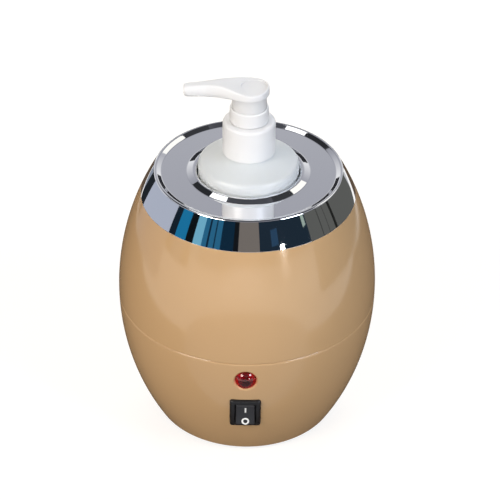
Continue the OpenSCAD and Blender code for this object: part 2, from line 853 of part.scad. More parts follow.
// Domed hollow lens with a flange behind the wall
module lamp_lens() {
    color("#9c1519") on_side(lamp_z) rotate_extrude() difference() {
        union() {
            translate([0, -lamp_back]) square([lens_r + lens_flange_w, lens_flange_t]);
            translate([0, -lamp_back]) square([lens_r, lamp_back - lens_base]);
            intersection() {
                translate([0, dome_h - dome_r - lens_base]) circle(r = dome_r);
                translate([0, -lens_base]) square([lens_r, 2 * dome_h]);
            }
        }
        translate([0, -lamp_back - cut]) square([lens_r - lens_wall, lamp_back + cut - lens_base]);
    }
}

// Plate screwed to the bosses, with the tube that carries the bulb
module lamp_holder() {
    color("#e6e2d8") on_side(lamp_z) translate([0, 0, -lamp_back]) difference() {
        union() {
            translate([0, 0, -holder_t]) linear_extrude(holder_t)
                rounded_rect(2 * lamp_screw_x + boss_d, 2 * (lens_r + lens_flange_w), boss_d / 2);
            translate([0, 0, -holder_t - holder_l])
                cylinder(r = bulb_d / 2 + slip + holder_wall, h = holder_l + holder_t / 2);
        }
        translate([0, 0, -holder_t - holder_l - cut])
            cylinder(r = bulb_d / 2 + slip, h = holder_t + holder_l + 2 * cut);
        for (x = [-1, 1]) translate([x * lamp_screw_x, 0, -holder_t - cut])
            cylinder(d = screw_d + 2 * pass_gap, h = holder_t + 2 * cut);
    }
}

module neon_bulb() {
    color("#e8c9b0") on_side(lamp_z) translate([0, 0, -lamp_back - holder_t - holder_l]) rotate_extrude() {
        square([bulb_d / 2, bulb_l - bulb_d / 2]);
        intersection() {
            translate([0, bulb_l - bulb_d / 2]) circle(d = bulb_d);
            square([bulb_d, 2 * bulb_l]);
        }
    }
}

module lamp_screws() {
    color("#8d9095") on_side(lamp_z) for (x = [-1, 1])
        translate([x * lamp_screw_x, 0, -lamp_back - holder_t])
            screw(screw_d, holder_t + lamp_screw_in - slip);
}

// Figure-eight outline of the mains socket
module socket_2d(grow) {
    for (x = [-1, 1]) translate([x * socket_x, 0]) circle(r = socket_r + grow);
    square([2 * socket_x, 2 * (socket_r + grow) * socket_waist], center = true);
}

// Frame of the inlet: z points out of the rear wall, from the flange's seat
module at_inlet() {
    translate([0, inlet_y, inlet_z]) rotate([-90, 0, 0]) children();
}

module inlet_body() {
    color("#1d1d1f") at_inlet() difference() {
        union() {
            linear_extrude(inlet_t) rounded_rect(inlet_w, inlet_l, inlet_corner);
            translate([0, 0, inlet_t - socket_depth - socket_back])
                linear_extrude(socket_depth + socket_back) rounded_rect(shroud_w, shroud_l, inlet_corner);
        }
        translate([0, 0, inlet_t - socket_depth]) linear_extrude(socket_depth + cut) socket_2d(0);
        for (x = [-1, 1]) translate([x * pin_spacing / 2, 0, inlet_t - socket_depth - socket_back - cut])
            cylinder(d = pin_d + 2 * slip, h = socket_back + 2 * cut);
    }
}

module inlet_pins() {
    color("#c9a24a") at_inlet() for (x = [-1, 1])
        translate([x * pin_spacing / 2, 0, inlet_t - socket_depth - socket_back - tab_l])
            cylinder(d = pin_d, h = tab_l + socket_back + pin_l);
}

// Half section of the bottle's outside (inset 0) or inside
module bottle_2d(inset, floor_z, top_z) {
    r = bottle_r - inset;
    edge = shoulder_r - inset;
    edge_z = shoulder_z - shoulder_r;
    pot_2d(r, floor_z, edge_z, bottle_corner - inset);
    translate([r - edge, edge_z]) circle(r = edge);
    polygon([
        [0, edge_z - shoulder_r], [r - edge, edge_z],
        [r - edge + edge * sin(shoulder_angle), edge_z + edge * cos(shoulder_angle)],
        [neck_d / 2, neck_z - shoulder_r / 2 - inset],
        [0, neck_z - shoulder_r / 2 - inset]
    ]);
    translate([0, floor_z + bottle_corner])
        square([(inset > 0 ? neck_bore : neck_d) / 2, top_z - floor_z - bottle_corner]);
}

module bottle() {
    color("#eef3f1") rotate_extrude() difference() {
        bottle_2d(0, cup_floor_z, neck_top);
        bottle_2d(bottle_wall, cup_floor_z + push_up + bottle_wall, neck_top + cut);
        polygon([
            [0, cup_floor_z - cut], [bottle_r - bottle_corner - push_up, cup_floor_z - cut],
            [bottle_r - bottle_corner - push_up, cup_floor_z],
            [bottle_r - bottle_corner - 3 * push_up, cup_floor_z + push_up], [0, cup_floor_z + push_up]
        ]);
    }
}

// Cylinder that hangs from the neck: flange, rim for the chaplet, ball seat and tail for the dip tube
module pump_cylinder() {
    color("#f2f2f0") rotate_extrude() difference() {
        union() {
            translate([0, seal_z]) square([pump_flange_r, pump_flange_t]);
            translate([0, spring_z - ball_room]) square([cylinder_r, rim_top - spring_z + ball_room]);
            translate([0, cylinder_low]) square([tail_r, spring_z - cylinder_low]);
        }
        translate([0, spring_z]) square([bore_r, rim_top]);
        translate([0, ball_z]) square([ball_d / 2 + run_gap, ball_room + cut]);
        polygon([
            [0, ball_z + slip], [ball_d / 2 + run_gap, ball_z + slip],
            [ball_d / 4, ball_z - ball_cone], [ball_d / 4, tube_top - cut], [0, tube_top - cut]
        ]);
        translate([0, cylinder_low - cut]) square([tube_d / 2 + slip, tube_grip + cut]);
    }
}

module pump_gasket() {
    color("#dcdcd8") tube(pump_flange_r, cylinder_r + slip, neck_top, seal_z);
}

// Ball of the inlet valve, resting in its cone
module check_ball() {
    seat_half = atan((ball_d / 4 + run_gap) / ball_cone);
    cone_tip = ball_z - ball_cone - ball_d / 4 / tan(seat_half);
    color("#d8dde0") translate([0, 0, cone_tip + ball_d / 2 / sin(seat_half) + slip]) sphere(d = ball_d);
}

// Dip tube with a slanted end, so that the bottle's floor can't close it
module dip_tube() {
    color("#f2f2f0") difference() {
        tube(tube_d / 2, tube_d / 2 - tube_wall, cup_floor_z + push_up + bottle_wall + tube_lift, tube_top);
        translate([0, 0, cup_floor_z + push_up + bottle_wall + tube_lift]) rotate([0, 45, 0])
            translate([0, 0, -tube_d]) cube([4 * tube_d, 2 * tube_d, 2 * tube_d], center = true);
    }
}

// Locking ring snapped on the cylinder's rim, with the plug that guides the stem
module pump_chaplet() {
    color("#fafafa") rotate_extrude() {
        translate([chaplet_in_r, chaplet_z]) square([chaplet_wall, chaplet_top - chaplet_z]);
        translate([stem_r + guide_gap, rim_top]) square([chaplet_r - stem_r - guide_gap, chaplet_web]);
        translate([cylinder_r + slip, chaplet_z])
            square([chaplet_r - cylinder_r - slip, rim_top - chaplet_z]);
        translate([bore_r - slip - plug_wall, rim_top - plug_l])
            square([plug_wall, plug_l + chaplet_web / 2]);
    }
}

// Screw closure: skirt round the neck, top wall held between flange and chaplet
module pump_collar() {
    color("#f7f7f6") rotate_extrude() difference() {
        union() {
            translate([0, collar_z]) square([collar_r, collar_top_z - collar_z - collar_top]);
            translate([0, collar_z]) square([collar_r - collar_top, collar_top_z - collar_z]);
            translate([collar_r - collar_top, collar_top_z - collar_top]) circle(r = collar_top);
        }
        translate([0, collar_z - cut]) square([neck_d / 2 + run_gap, pump_flange_z - collar_z + cut]);
        square([cylinder_r + run_gap, collar_top_z + cut]);
    }
}

// Piston with a lip at each end, on the stem
module piston() {
    color("#e9ecee") rotate_extrude() difference() {
        translate([stem_r + slip, piston_z]) square([bore_r - piston_gap - stem_r - slip, piston_l]);
        translate([bore_r - piston_gap - piston_waist, piston_z + piston_waist])
            square([2 * piston_waist, piston_l - 2 * piston_waist]);
    }
}

// Coil spring: a ring of points swept along the helix, its ends closed flat
spring_sides = 6;
spring_rings = 8 * spring_turns;
spring_rise = spring_l - spring_wire - 2 * slip;
function helix(t) = [
    spring_r * cos(360 * spring_turns * t), spring_r * sin(360 * spring_turns * t),
    spring_z + spring_wire / 2 + slip + spring_rise * t
];
function helix_ring(t) = [
    for (k = [0 : spring_sides - 1])
        let (a = 360 * k / spring_sides, turn = 360 * spring_turns * t)
        helix(t) + spring_wire / 2 * [cos(a) * cos(turn), cos(a) * sin(turn), sin(a)]
];
spring_gap = min([
    for (k = [0 : spring_rings - 8])
        norm(helix((k + 8) / spring_rings) - helix(k / spring_rings)) - spring_wire
]);

module return_spring() {
    n = spring_sides;
    echo(return_spring_gap = spring_gap);
    color("#9aa0a6") polyhedron(
        points = [for (i = [0 : spring_rings]) each helix_ring(i / spring_rings)],
        faces = concat(
            [for (k = [1 : n - 2]) [0, k, k + 1]],
            [for (k = [1 : n - 2]) [spring_rings * n, spring_rings * n + k + 1, spring_rings * n + k]],
            [for (i = [0 : spring_rings - 1], k = [0 : n - 1])
                [i * n + k, (i + 1) * n + k, i * n + (k + 1) % n]],
            [for (i = [0 : spring_rings - 1], k = [0 : n - 1])
                [(i + 1) * n + k, (i + 1) * n + (k + 1) % n, i * n + (k + 1) % n]]
        )
    );
}

// Hollow stem from the piston up into the head
module pump_stem() {
    color("#f2f2f0") tube(stem_r, stem_bore / 2, piston_z, stem_top);
}

// Plan of the head: round end, and sides that run in hollow arcs to the tip
module head_2d() {
    circle(r = head_r);
    difference() {
        translate([-nozzle_reach, -head_r]) square([nozzle_reach - flank_end, 2 * head_r]);
        for (y = [-1, 1]) translate([-nozzle_reach, y * (ridge_r + flank_r)]) circle(r = flank_r + flank_hair);
    }
}

// Side view of the head before the finger rest is cut: flat underside, ridge that falls to the tip
module head_side_2d() {
    ahead = nozzle_reach + 1;
    back = head_r + 1;
    tip_top = head_top + tip_rise;
    polygon([
        [back, plate_low - blade_rise], [-head_neck_r, plate_low - blade_rise],
        [-head_neck_r - blade_run, plate_low + blade_rise], [-ahead, plate_low + blade_rise],
        [-ahead, tip_top - tan(ridge_tilt)], [back, tip_top + (nozzle_reach + back) * tan(ridge_tilt)]
    ]);
}

// Round pad sunk into the finger rest
module head_dish() {
    translate([dish_x, 0, head_top - dish_depth]) intersection() {
        translate([0, 0, -cut]) cylinder(r = dish_r, h = rest_r);
        translate([0, 0, dish_ball]) rotate([90, 0, 0]) sphere(r = dish_ball);
    }
}

// Head with finger rest and nozzle, neck that locks into the chaplet, and socket for the stem
module pump_head() {
    color("#fcfcfc") difference() {
        union() {
            intersection() {
                translate([0, 0, plate_low]) linear_extrude(nozzle_reach) head_2d();
                rotate([90, 0, 0]) linear_extrude(2 * head_r + 2, center = true) head_side_2d();
            }
            translate([0, 0, nozzle_z]) rotate([0, -90, 0])
                cylinder(r = nozzle_r, h = nozzle_reach - nozzle_end);
            tube(head_neck_r, head_neck_r - socket_wall, head_neck_z, plate_low + join);
            tube(stem_r + slip + socket_wall, stem_r + slip, plate_low - socket_l, plate_low + join);
        }
        translate([rest_x, 0, head_top + rest_r]) rotate([90, 0, 0])
            cylinder(r = rest_r, h = 2 * head_r + 2, center = true);
        head_dish();
        translate([0, 0, stem_top - cut]) cylinder(d = stem_bore, h = nozzle_z - bore_drop - stem_top + cut);
        translate([0, 0, nozzle_z - bore_drop]) rotate([0, -90, 0])
            cylinder(d = nozzle_bore, h = nozzle_reach + cut);
    }
}

lower_housing();
upper_housing();
top_ring();
base_plate();
rubber_feet();
base_screws();
seam_screws();
ring_screws();
heating_cup();
cup_gasket();
heater_band();
clamp_bolts();
clamp_nuts();
thermostat_cap();
thermostat_body();
thermostat_blades();
thermostat_nuts();
thermal_fuse();
fuse_clip();
switch_frame();
switch_rocker();
switch_blades();
lamp_lens();
lamp_holder();
neon_bulb();
lamp_screws();
inlet_body();
inlet_pins();
bottle();
pump_cylinder();
pump_gasket();
check_ball();
dip_tube();
pump_chaplet();
pump_collar();
piston();
return_spring();
pump_stem();
pump_head();
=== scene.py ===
import json
import math

import bmesh
import bpy
from mathutils import Matrix, Quaternion, Vector


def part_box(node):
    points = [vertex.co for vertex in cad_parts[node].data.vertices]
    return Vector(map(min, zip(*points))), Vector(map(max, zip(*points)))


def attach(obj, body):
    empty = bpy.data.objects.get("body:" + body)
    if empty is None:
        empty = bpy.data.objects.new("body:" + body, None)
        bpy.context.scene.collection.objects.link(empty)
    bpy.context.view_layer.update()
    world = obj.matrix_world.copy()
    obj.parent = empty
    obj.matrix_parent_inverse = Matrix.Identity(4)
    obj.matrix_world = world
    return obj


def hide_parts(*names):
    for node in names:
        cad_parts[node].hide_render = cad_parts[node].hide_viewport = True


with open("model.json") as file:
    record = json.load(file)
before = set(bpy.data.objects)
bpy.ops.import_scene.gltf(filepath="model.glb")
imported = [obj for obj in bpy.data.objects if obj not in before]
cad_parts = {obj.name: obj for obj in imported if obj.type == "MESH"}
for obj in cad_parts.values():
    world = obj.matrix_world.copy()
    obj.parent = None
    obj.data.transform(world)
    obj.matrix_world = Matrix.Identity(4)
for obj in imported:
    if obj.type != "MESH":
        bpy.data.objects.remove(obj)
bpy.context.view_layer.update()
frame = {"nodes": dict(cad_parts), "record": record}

nodes = frame["nodes"]
mm = 0.001
print("frame loaded:", len(nodes), "nodes")


# sRGB hex to the linear values that the shaders want
def hexColour(text):
    channels = [int(text[i:i + 2], 16) / 255 for i in (1, 3, 5)]
    linear = [c / 12.92 if c <= 0.04045 else ((c + 0.055) / 1.055) ** 2.4 for c in channels]
    return (*linear, 1.0)


white = hexColour("#ffffff")


# one node, with its settings, its plain values and its links
def addNode(tree, kind, values=None, links=None, **settings):
    node = tree.nodes.new(kind)
    for name, value in settings.items():
        setattr(node, name, value)
    for socket, value in (values or {}).items():
        node.inputs[socket].default_value = value
    for socket, source in (links or {}).items():
        tree.links.new(source, node.inputs[socket])
    return node


# camera at the photograph's viewing angle
cameraSetup = {
    "target": (0, 0, 77 * mm),                  # middle of the housing
    "aim": (1.4 * mm, 10.5 * mm, 91.6 * mm),    # what lies at the middle of the picture
    "distance": 1141.7 * mm,
    "elevation": math.radians(35.75),
    "roll": math.radians(0.832),
    "lens": 149.9,
    "sensor": 36,
    "clip": (0.05, 50),
}


def makeCamera(setup):
    elevation = setup["elevation"]
    back = Vector((0, -math.cos(elevation), math.sin(elevation)))
    place = Vector(setup["target"]) + back * setup["distance"]
    data = bpy.data.cameras.new("photoCamera")
    data.lens = setup["lens"]
    data.sensor_width = setup["sensor"]
    data.clip_start, data.clip_end = setup["clip"]
    camera = bpy.data.objects.new("photoCamera", data)
    bpy.context.scene.collection.objects.link(camera)
    camera.location = place
    camera.rotation_mode = "QUATERNION"
    turn = (Vector(setup["aim"]) - place).to_track_quat("-Z", "Y")
    camera.rotation_quaternion = turn @ Quaternion((0, 0, 1), setup["roll"])
    bpy.context.scene.camera = camera


makeCamera(cameraSetup)
bpy.context.scene.view_settings.view_transform = "Standard"
print("camera placed")


# soft studio: boxes left and right of the camera, a low fill in front, one behind the object, and plain
# cards that only reflections see, because chrome shows nothing but what stands round it
studio = {
    "aim": (0, 0, 0.11),
    "skyLow": "#ffffff",
    "skyMiddle": "#adaeb6",
    "skyTop": "#4c4d52",
    "skyStops": (0.15, 0.55, 0.95),     # sine of the height at which the three sky colours lie
    "skyFill": 0.2,
    "floorColour": "#97928a",
    "floorGlow": 0.8,
    "floorFade": (0.35, 1.3),           # metres from the object, where the lamps' light falls off
    "floorSize": 6,
    "floorDrop": 0.05,                  # mm, so that no foot shares a plane with it
    "cardGrid": (8, 2),                 # faces of a bent card, round and up
    "boxDistance": 1.7,
    # compass turn from the camera's side and height above the horizon in degrees, size in metres,
    # power, colour, seen in gloss
    "boxes": {
        "leftBox": (-46, 36, (0.75, 0.55), 16.5, "#fff6ea", True),
        "rightBox": (56, 38, (0.6, 0.5), 13.5, "#eaf2ff", True),
        "frontFill": (-4, 2.5, (1.0, 0.3), 9.5, "#f3f7ff", False),
        "backFill": (176, 22, (1.3, 0.8), 18, "#ffffff", False),
    },
    # compass turn from and to and height above the horizon from and to in degrees, distance in metres,
    # colour, strength
    "cards": {
        "paleSide": (-126, -79, -17, 16, 0.45, "#b4bac9", 1),
        "darkStripe": (-140, -126, -17, 12, 0.45, "#23272c", 1),
        "paleEdge": (-150, -140, -17, 12, 0.45, "#8d95a3", 1),
        "navyEdge": (-104, -75, -6, 24, 2.2, "#16222d", 1),
        "brightBlue": (-75, -63, -6, 24, 2.2, "#1d76a3", 1),
        "blackStripe": (-63, -55, -2, 27, 2.2, "#0e1418", 1),
        "paleBlue": (-55, -46, 3, 26, 2.2, "#74b3cd", 1),
        "middleBlue": (-46, -27, 3, 26, 2.2, "#2a678a", 1),
        "blueBar": (-41, -39, 3, 26, 2.1, "#12273a", 1),
        "blueLine": (-34, -32.6, 3, 26, 2.1, "#163246", 1),
        "deepBlue": (-27, -14, 3, 31, 2.2, "#112a3d", 1),
        "dimTop": (-63, -27, 26, 31, 2.2, "#101a22", 1),
        "warmGrey": (-14, 12, 6, 31, 2.2, "#77706a", 1),
        "blackLine": (-14, -9, 6, 31, 2.1, "#15181c", 1),
        "navySide": (12, 84, 6, 31, 2.2, "#1f2c38", 1),
        "paleStrip": (59.5, 63, 14, 25, 2.1, "#9fb0a6", 1),
        "bluePatch": (24, 31, 14, 21, 2.1, "#2b4660", 1),
        "greySide": (62, 140, -17, 24, 0.5, "#5f605d", 1),
        "greyGap": (92, 95, -17, 24, 0.48, "#232422", 1),
        "greyLine": (76, 77, -17, 24, 0.48, "#3f403e", 1),
        "greyThread": (84, 84.8, -17, 24, 0.48, "#454644", 1),
        "paleCorner": (140, 152, -17, 6, 0.5, "#c4c5ca", 1),
        "darkBack": (158, 202, -5, 14, 2.2, "#2f3034", 1),
        "glint": (32.4, 36.2, 10.2, 13.4, 2, "#ffffff", 30),
        "glintTail": (31, 38, 0, 9, 2, "#fff6ee", 2.5),
        "highLeft": (-142, -78, 58, 70, 2.2, "#ffffff", 1.6),
        "highRight": (104, 146, 33, 52, 2.2, "#fffdf6", 1.2),
        "dimHighRight": (72, 162, 52, 68, 2.3, "#3a3b3e", 1),
        "dimHighLeft": (-152, -72, 40, 58, 2.3, "#2c2d30", 1),
    },
    # cards on the floor, dark round the object and pale in front of it: corners, reach and place along Y
    # in metres, height in mm, colour
    "floorCards": {
        "tableCard": (4, 0.45, 0.12, 1, "#5f5043"),
        "paperCard": (48, 0.2, -0.28, 2, "#9ca1a8"),
    },
}


# point seen from the aim at a compass turn and a height, both in degrees
def outThere(turn, height, distance):
    turn = math.radians(turn)
    height = math.radians(height)
    way = Vector((math.sin(turn) * math.cos(height), -math.cos(turn) * math.cos(height), math.sin(height)))
    return Vector(studio["aim"]) + way * distance


# something that stands in the studio and isn't part of the object
def standInStudio(name, bm, material):
    mesh = bpy.data.meshes.new(name)
    bm.to_mesh(mesh)
    bm.free()
    mesh.materials.append(material)
    thing = bpy.data.objects.new(name, mesh)
    bpy.context.scene.collection.objects.link(thing)
    return thing


# a card shows its colour to reflections from its front, and nothing to the camera
def makeCard(name, bm, colour, strength=1):
    cloth = bpy.data.materials.new(name + "Cloth")
    cloth.use_nodes = True
    tree = cloth.node_tree
    tree.nodes.clear()
    glow = addNode(tree, "ShaderNodeEmission", {"Color": hexColour(colour), "Strength": strength})
    clear = addNode(tree, "ShaderNodeBsdfTransparent")
    facing = addNode(tree, "ShaderNodeNewGeometry")
    mix = addNode(tree, "ShaderNodeMixShader", links={
        0: facing.outputs["Backfacing"], 1: glow.outputs[0], 2: clear.outputs[0]})
    addNode(tree, "ShaderNodeOutputMaterial", links={"Surface": mix.outputs[0]})
    card = standInStudio(name, bm, cloth)
    card.visible_camera = False
    card.visible_diffuse = False
    card.visible_shadow = False


# what the camera, gloss and glass see, as against what lights the object
def seenDirectly(tree):
    path = addNode(tree, "ShaderNodeLightPath")
    cameraOrGloss = addNode(tree, "ShaderNodeMath", operation="MAXIMUM", links={
        0: path.outputs["Is Camera Ray"], 1: path.outputs["Is Glossy Ray"]})
    return addNode(tree, "ShaderNodeMath", operation="MAXIMUM", links={
        0: cameraOrGloss.outputs[0], 1: path.outputs["Is Transmission Ray"]})


# the camera sees plain white, gloss and glass see the sky's fade, and an even fill lights the object
def makeSky(setup):
    world = bpy.data.worlds.new("paleStudio")
    bpy.context.scene.world = world
    world.use_nodes = True
    tree = world.node_tree
    tree.nodes.clear()
    coordinates = addNode(tree, "ShaderNodeTexCoord")
    split = addNode(tree, "ShaderNodeSeparateXYZ", links={"Vector": coordinates.outputs["Generated"]})
    fade = addNode(tree, "ShaderNodeValToRGB", links={"Fac": split.outputs["Z"]})
    lowStop, middleStop, topStop = setup["skyStops"]
    stops = fade.color_ramp.elements
    stops[0].position = lowStop
    stops[0].color = hexColour(setup["skyLow"])
    stops[1].position = topStop
    stops[1].color = hexColour(setup["skyTop"])
    stops.new(middleStop).color = hexColour(setup["skyMiddle"])
    seen = addNode(tree, "ShaderNodeBackground", {"Strength": 1.0}, {"Color": fade.outputs["Color"]})
    plain = addNode(tree, "ShaderNodeBackground", {"Color": white, "Strength": 1.0})
    path = addNode(tree, "ShaderNodeLightPath")
    backdrop = addNode(tree, "ShaderNodeMixShader", links={
        0: path.outputs["Is Camera Ray"], 1: seen.outputs[0], 2: plain.outputs[0]})
    fill = addNode(tree, "ShaderNodeBackground", {"Color": white, "Strength": setup["skyFill"]})
    mix = addNode(tree, "ShaderNodeMixShader", links={
        0: seenDirectly(tree).outputs[0], 1: fill.outputs[0], 2: backdrop.outputs[0]})
    addNode(tree, "ShaderNodeOutputWorld", links={"Surface": mix.outputs[0]})


# a matt floor that glows to white for camera and gloss, keeps the shadow,
# and can be seen through from below
def makeFloor(setup):
    paint = bpy.data.materials.new("paleFloorPaint")
    paint.use_nodes = True
    tree = paint.node_tree
    tree.nodes.clear()
    lit = addNode(tree, "ShaderNodeBsdfPrincipled", {
        "Base Color": hexColour(setup["floorColour"]), "Roughness": 1.0, "Specular IOR Level": 0.0})
    place = addNode(tree, "ShaderNodeTexCoord").outputs["Object"]
    reach = addNode(tree, "ShaderNodeVectorMath", operation="LENGTH", links={0: place})
    near, far = setup["floorFade"]
    strength = addNode(tree, "ShaderNodeMapRange", {
        "From Min": near, "From Max": far, "To Min": setup["floorGlow"], "To Max": 1.0},
        {"Value": reach.outputs["Value"]})
    glow = addNode(tree, "ShaderNodeEmission", {"Color": white}, {"Strength": strength.outputs[0]})
    both = addNode(tree, "ShaderNodeAddShader", links={0: lit.outputs[0], 1: glow.outputs[0]})
    mix = addNode(tree, "ShaderNodeMixShader", links={
        0: seenDirectly(tree).outputs[0], 1: lit.outputs[0], 2: both.outputs[0]})
    clear = addNode(tree, "ShaderNodeBsdfTransparent")
    facing = addNode(tree, "ShaderNodeNewGeometry")
    upOnly = addNode(tree, "ShaderNodeMixShader", links={
        0: facing.outputs["Backfacing"], 1: mix.outputs[0], 2: clear.outputs[0]})
    addNode(tree, "ShaderNodeOutputMaterial", links={"Surface": upOnly.outputs[0]})
    bm = bmesh.new()
    bmesh.ops.create_grid(bm, x_segments=1, y_segments=1, size=setup["floorSize"])
    bmesh.ops.translate(bm, vec=(0, 0, -setup["floorDrop"] * mm), verts=bm.verts)
    standInStudio("paleFloor", bm, paint)


def makeBox(name, turn, height, size, power, colour, seenInGloss):
    data = bpy.data.lights.new(name, "AREA")
    data.shape = "RECTANGLE"
    data.size, data.size_y = size
    data.energy = power
    data.color = hexColour(colour)[:3]
    light = bpy.data.objects.new(name, data)
    bpy.context.scene.collection.objects.link(light)
    light.location = outThere(turn, height, studio["boxDistance"])
    light.rotation_mode = "QUATERNION"
    light.rotation_quaternion = (Vector(studio["aim"]) - light.location).to_track_quat("-Z", "Y")
    light.visible_camera = False
    light.visible_glossy = seenInGloss


# a grid of unit size, bent round the aim, its front towards the object
def makeStandingCard(name, start, end, low, high, distance, colour, strength):
    bm = bmesh.new()
    across, up = studio["cardGrid"]
    bmesh.ops.create_grid(bm, x_segments=across, y_segments=up, size=0.5)
    for vert in bm.verts:
        turn = start + (end - start) * (vert.co.x + 0.5)
        height = low + (high - low) * (vert.co.y + 0.5)
        vert.co = outThere(turn, height, distance)
    bm.normal_update()
    away = [face for face in bm.faces if face.normal.dot(face.calc_center_median()) > 0]
    bmesh.ops.reverse_faces(bm, faces=away)
    makeCard(name, bm, colour, strength)


def makeFloorCard(name, corners, reach, behind, height, colour):
    bm = bmesh.new()
    bmesh.ops.create_circle(bm, cap_ends=True, segments=corners, radius=reach)
    bmesh.ops.translate(bm, vec=(0, behind, height * mm), verts=bm.verts)
    makeCard(name, bm, colour)


def makeStudio(setup):
    makeSky(setup)
    makeFloor(setup)
    for name, box in setup["boxes"].items():
        makeBox(name, *box)
    for name, card in setup["cards"].items():
        makeStandingCard(name, *card)
    for name, card in setup["floorCards"].items():
        makeFloorCard(name, *card)


makeStudio(studio)
print("studio lit")


# the noise textures behind every finish
pattern = {
    "cloudDetail": 3.0,
    "smudgeDetail": 4.0,
    "grainDetail": 2.0,
    "noiseSpan": (0.35, 0.7),           # where most of a noise texture's values lie
}


# a principled material whose colour, gloss and relief vary with the finish's own scales
def finishMaterial(name, finish):
    material = bpy.data.materials.new(name)
    material.use_nodes = True
    tree = material.node_tree
    tree.nodes.clear()
    shader = addNode(tree, "ShaderNodeBsdfPrincipled", finish["shader"])
    addNode(tree, "ShaderNodeOutputMaterial", links={"Surface": shader.outputs[0]})
    place = addNode(tree, "ShaderNodeTexCoord").outputs["Object"]
    share = None
    if "mottle" in finish:      # slow change of colour, from cloudMm wide patches
        cloud = addNode(tree, "ShaderNodeTexNoise", {
            "Scale": 1 / (finish["cloudMm"] * mm), "Detail": pattern["cloudDetail"]}, {"Vector": place})
        share = cloud.outputs["Fac"]
        first, second = finish["colour"], finish["mottle"]
    # painted shade: a darker colour round a middle point, used for the lens's dark centre
    elif "paintedShade" in finish:      # another colour round a middle, fading out between the paintedShadeMm distances
        reach = addNode(tree, "ShaderNodeVectorMath", {1: finish["middle"]}, {0: place},
                        operation="DISTANCE")
        near, far = finish["paintedShadeMm"]
        fade = addNode(tree, "ShaderNodeMapRange", {
            "From Min": near * mm, "From Max": far * mm}, {"Value": reach.outputs["Value"]})
        share = fade.outputs[0]
        first, second = finish["paintedShade"], finish["colour"]
    if share is None:
        shader.inputs["Base Color"].default_value = hexColour(finish["colour"])
    else:
        tint = addNode(tree, "ShaderNodeMix", {6: hexColour(first), 7: hexColour(second)}, {0: share},
                       data_type="RGBA")
        tree.links.new(tint.outputs[2], shader.inputs["Base Color"])

    # roughness runs between two values in smudgeMm patches
    smear = addNode(tree, "ShaderNodeTexNoise", {
        "Scale": 1 / (finish["smudgeMm"] * mm), "Detail": pattern["smudgeDetail"]}, {"Vector": place})
    least, most = pattern["noiseSpan"]
    smooth, dull = finish["smudge"]
    span = addNode(tree, "ShaderNodeMapRange", {
        "From Min": least, "From Max": most, "To Min": smooth, "To Max": dull},
        {"Value": smear.outputs["Fac"]})
    tree.links.new(span.outputs[0], shader.inputs["Roughness"])
    if "grainMm" in finish:     # fine relief
        grain = addNode(tree, "ShaderNodeTexNoise", {
            "Scale": 1 / (finish["grainMm"] * mm), "Detail": pattern["grainDetail"]}, {"Vector": place})
        relief = addNode(tree, "ShaderNodeBump", {
            "Strength": finish["grain"], "Distance": finish["grainMm"] * mm},
            {"Height": grain.outputs["Fac"]})
        tree.links.new(relief.outputs[0], shader.inputs["Normal"])
    return material


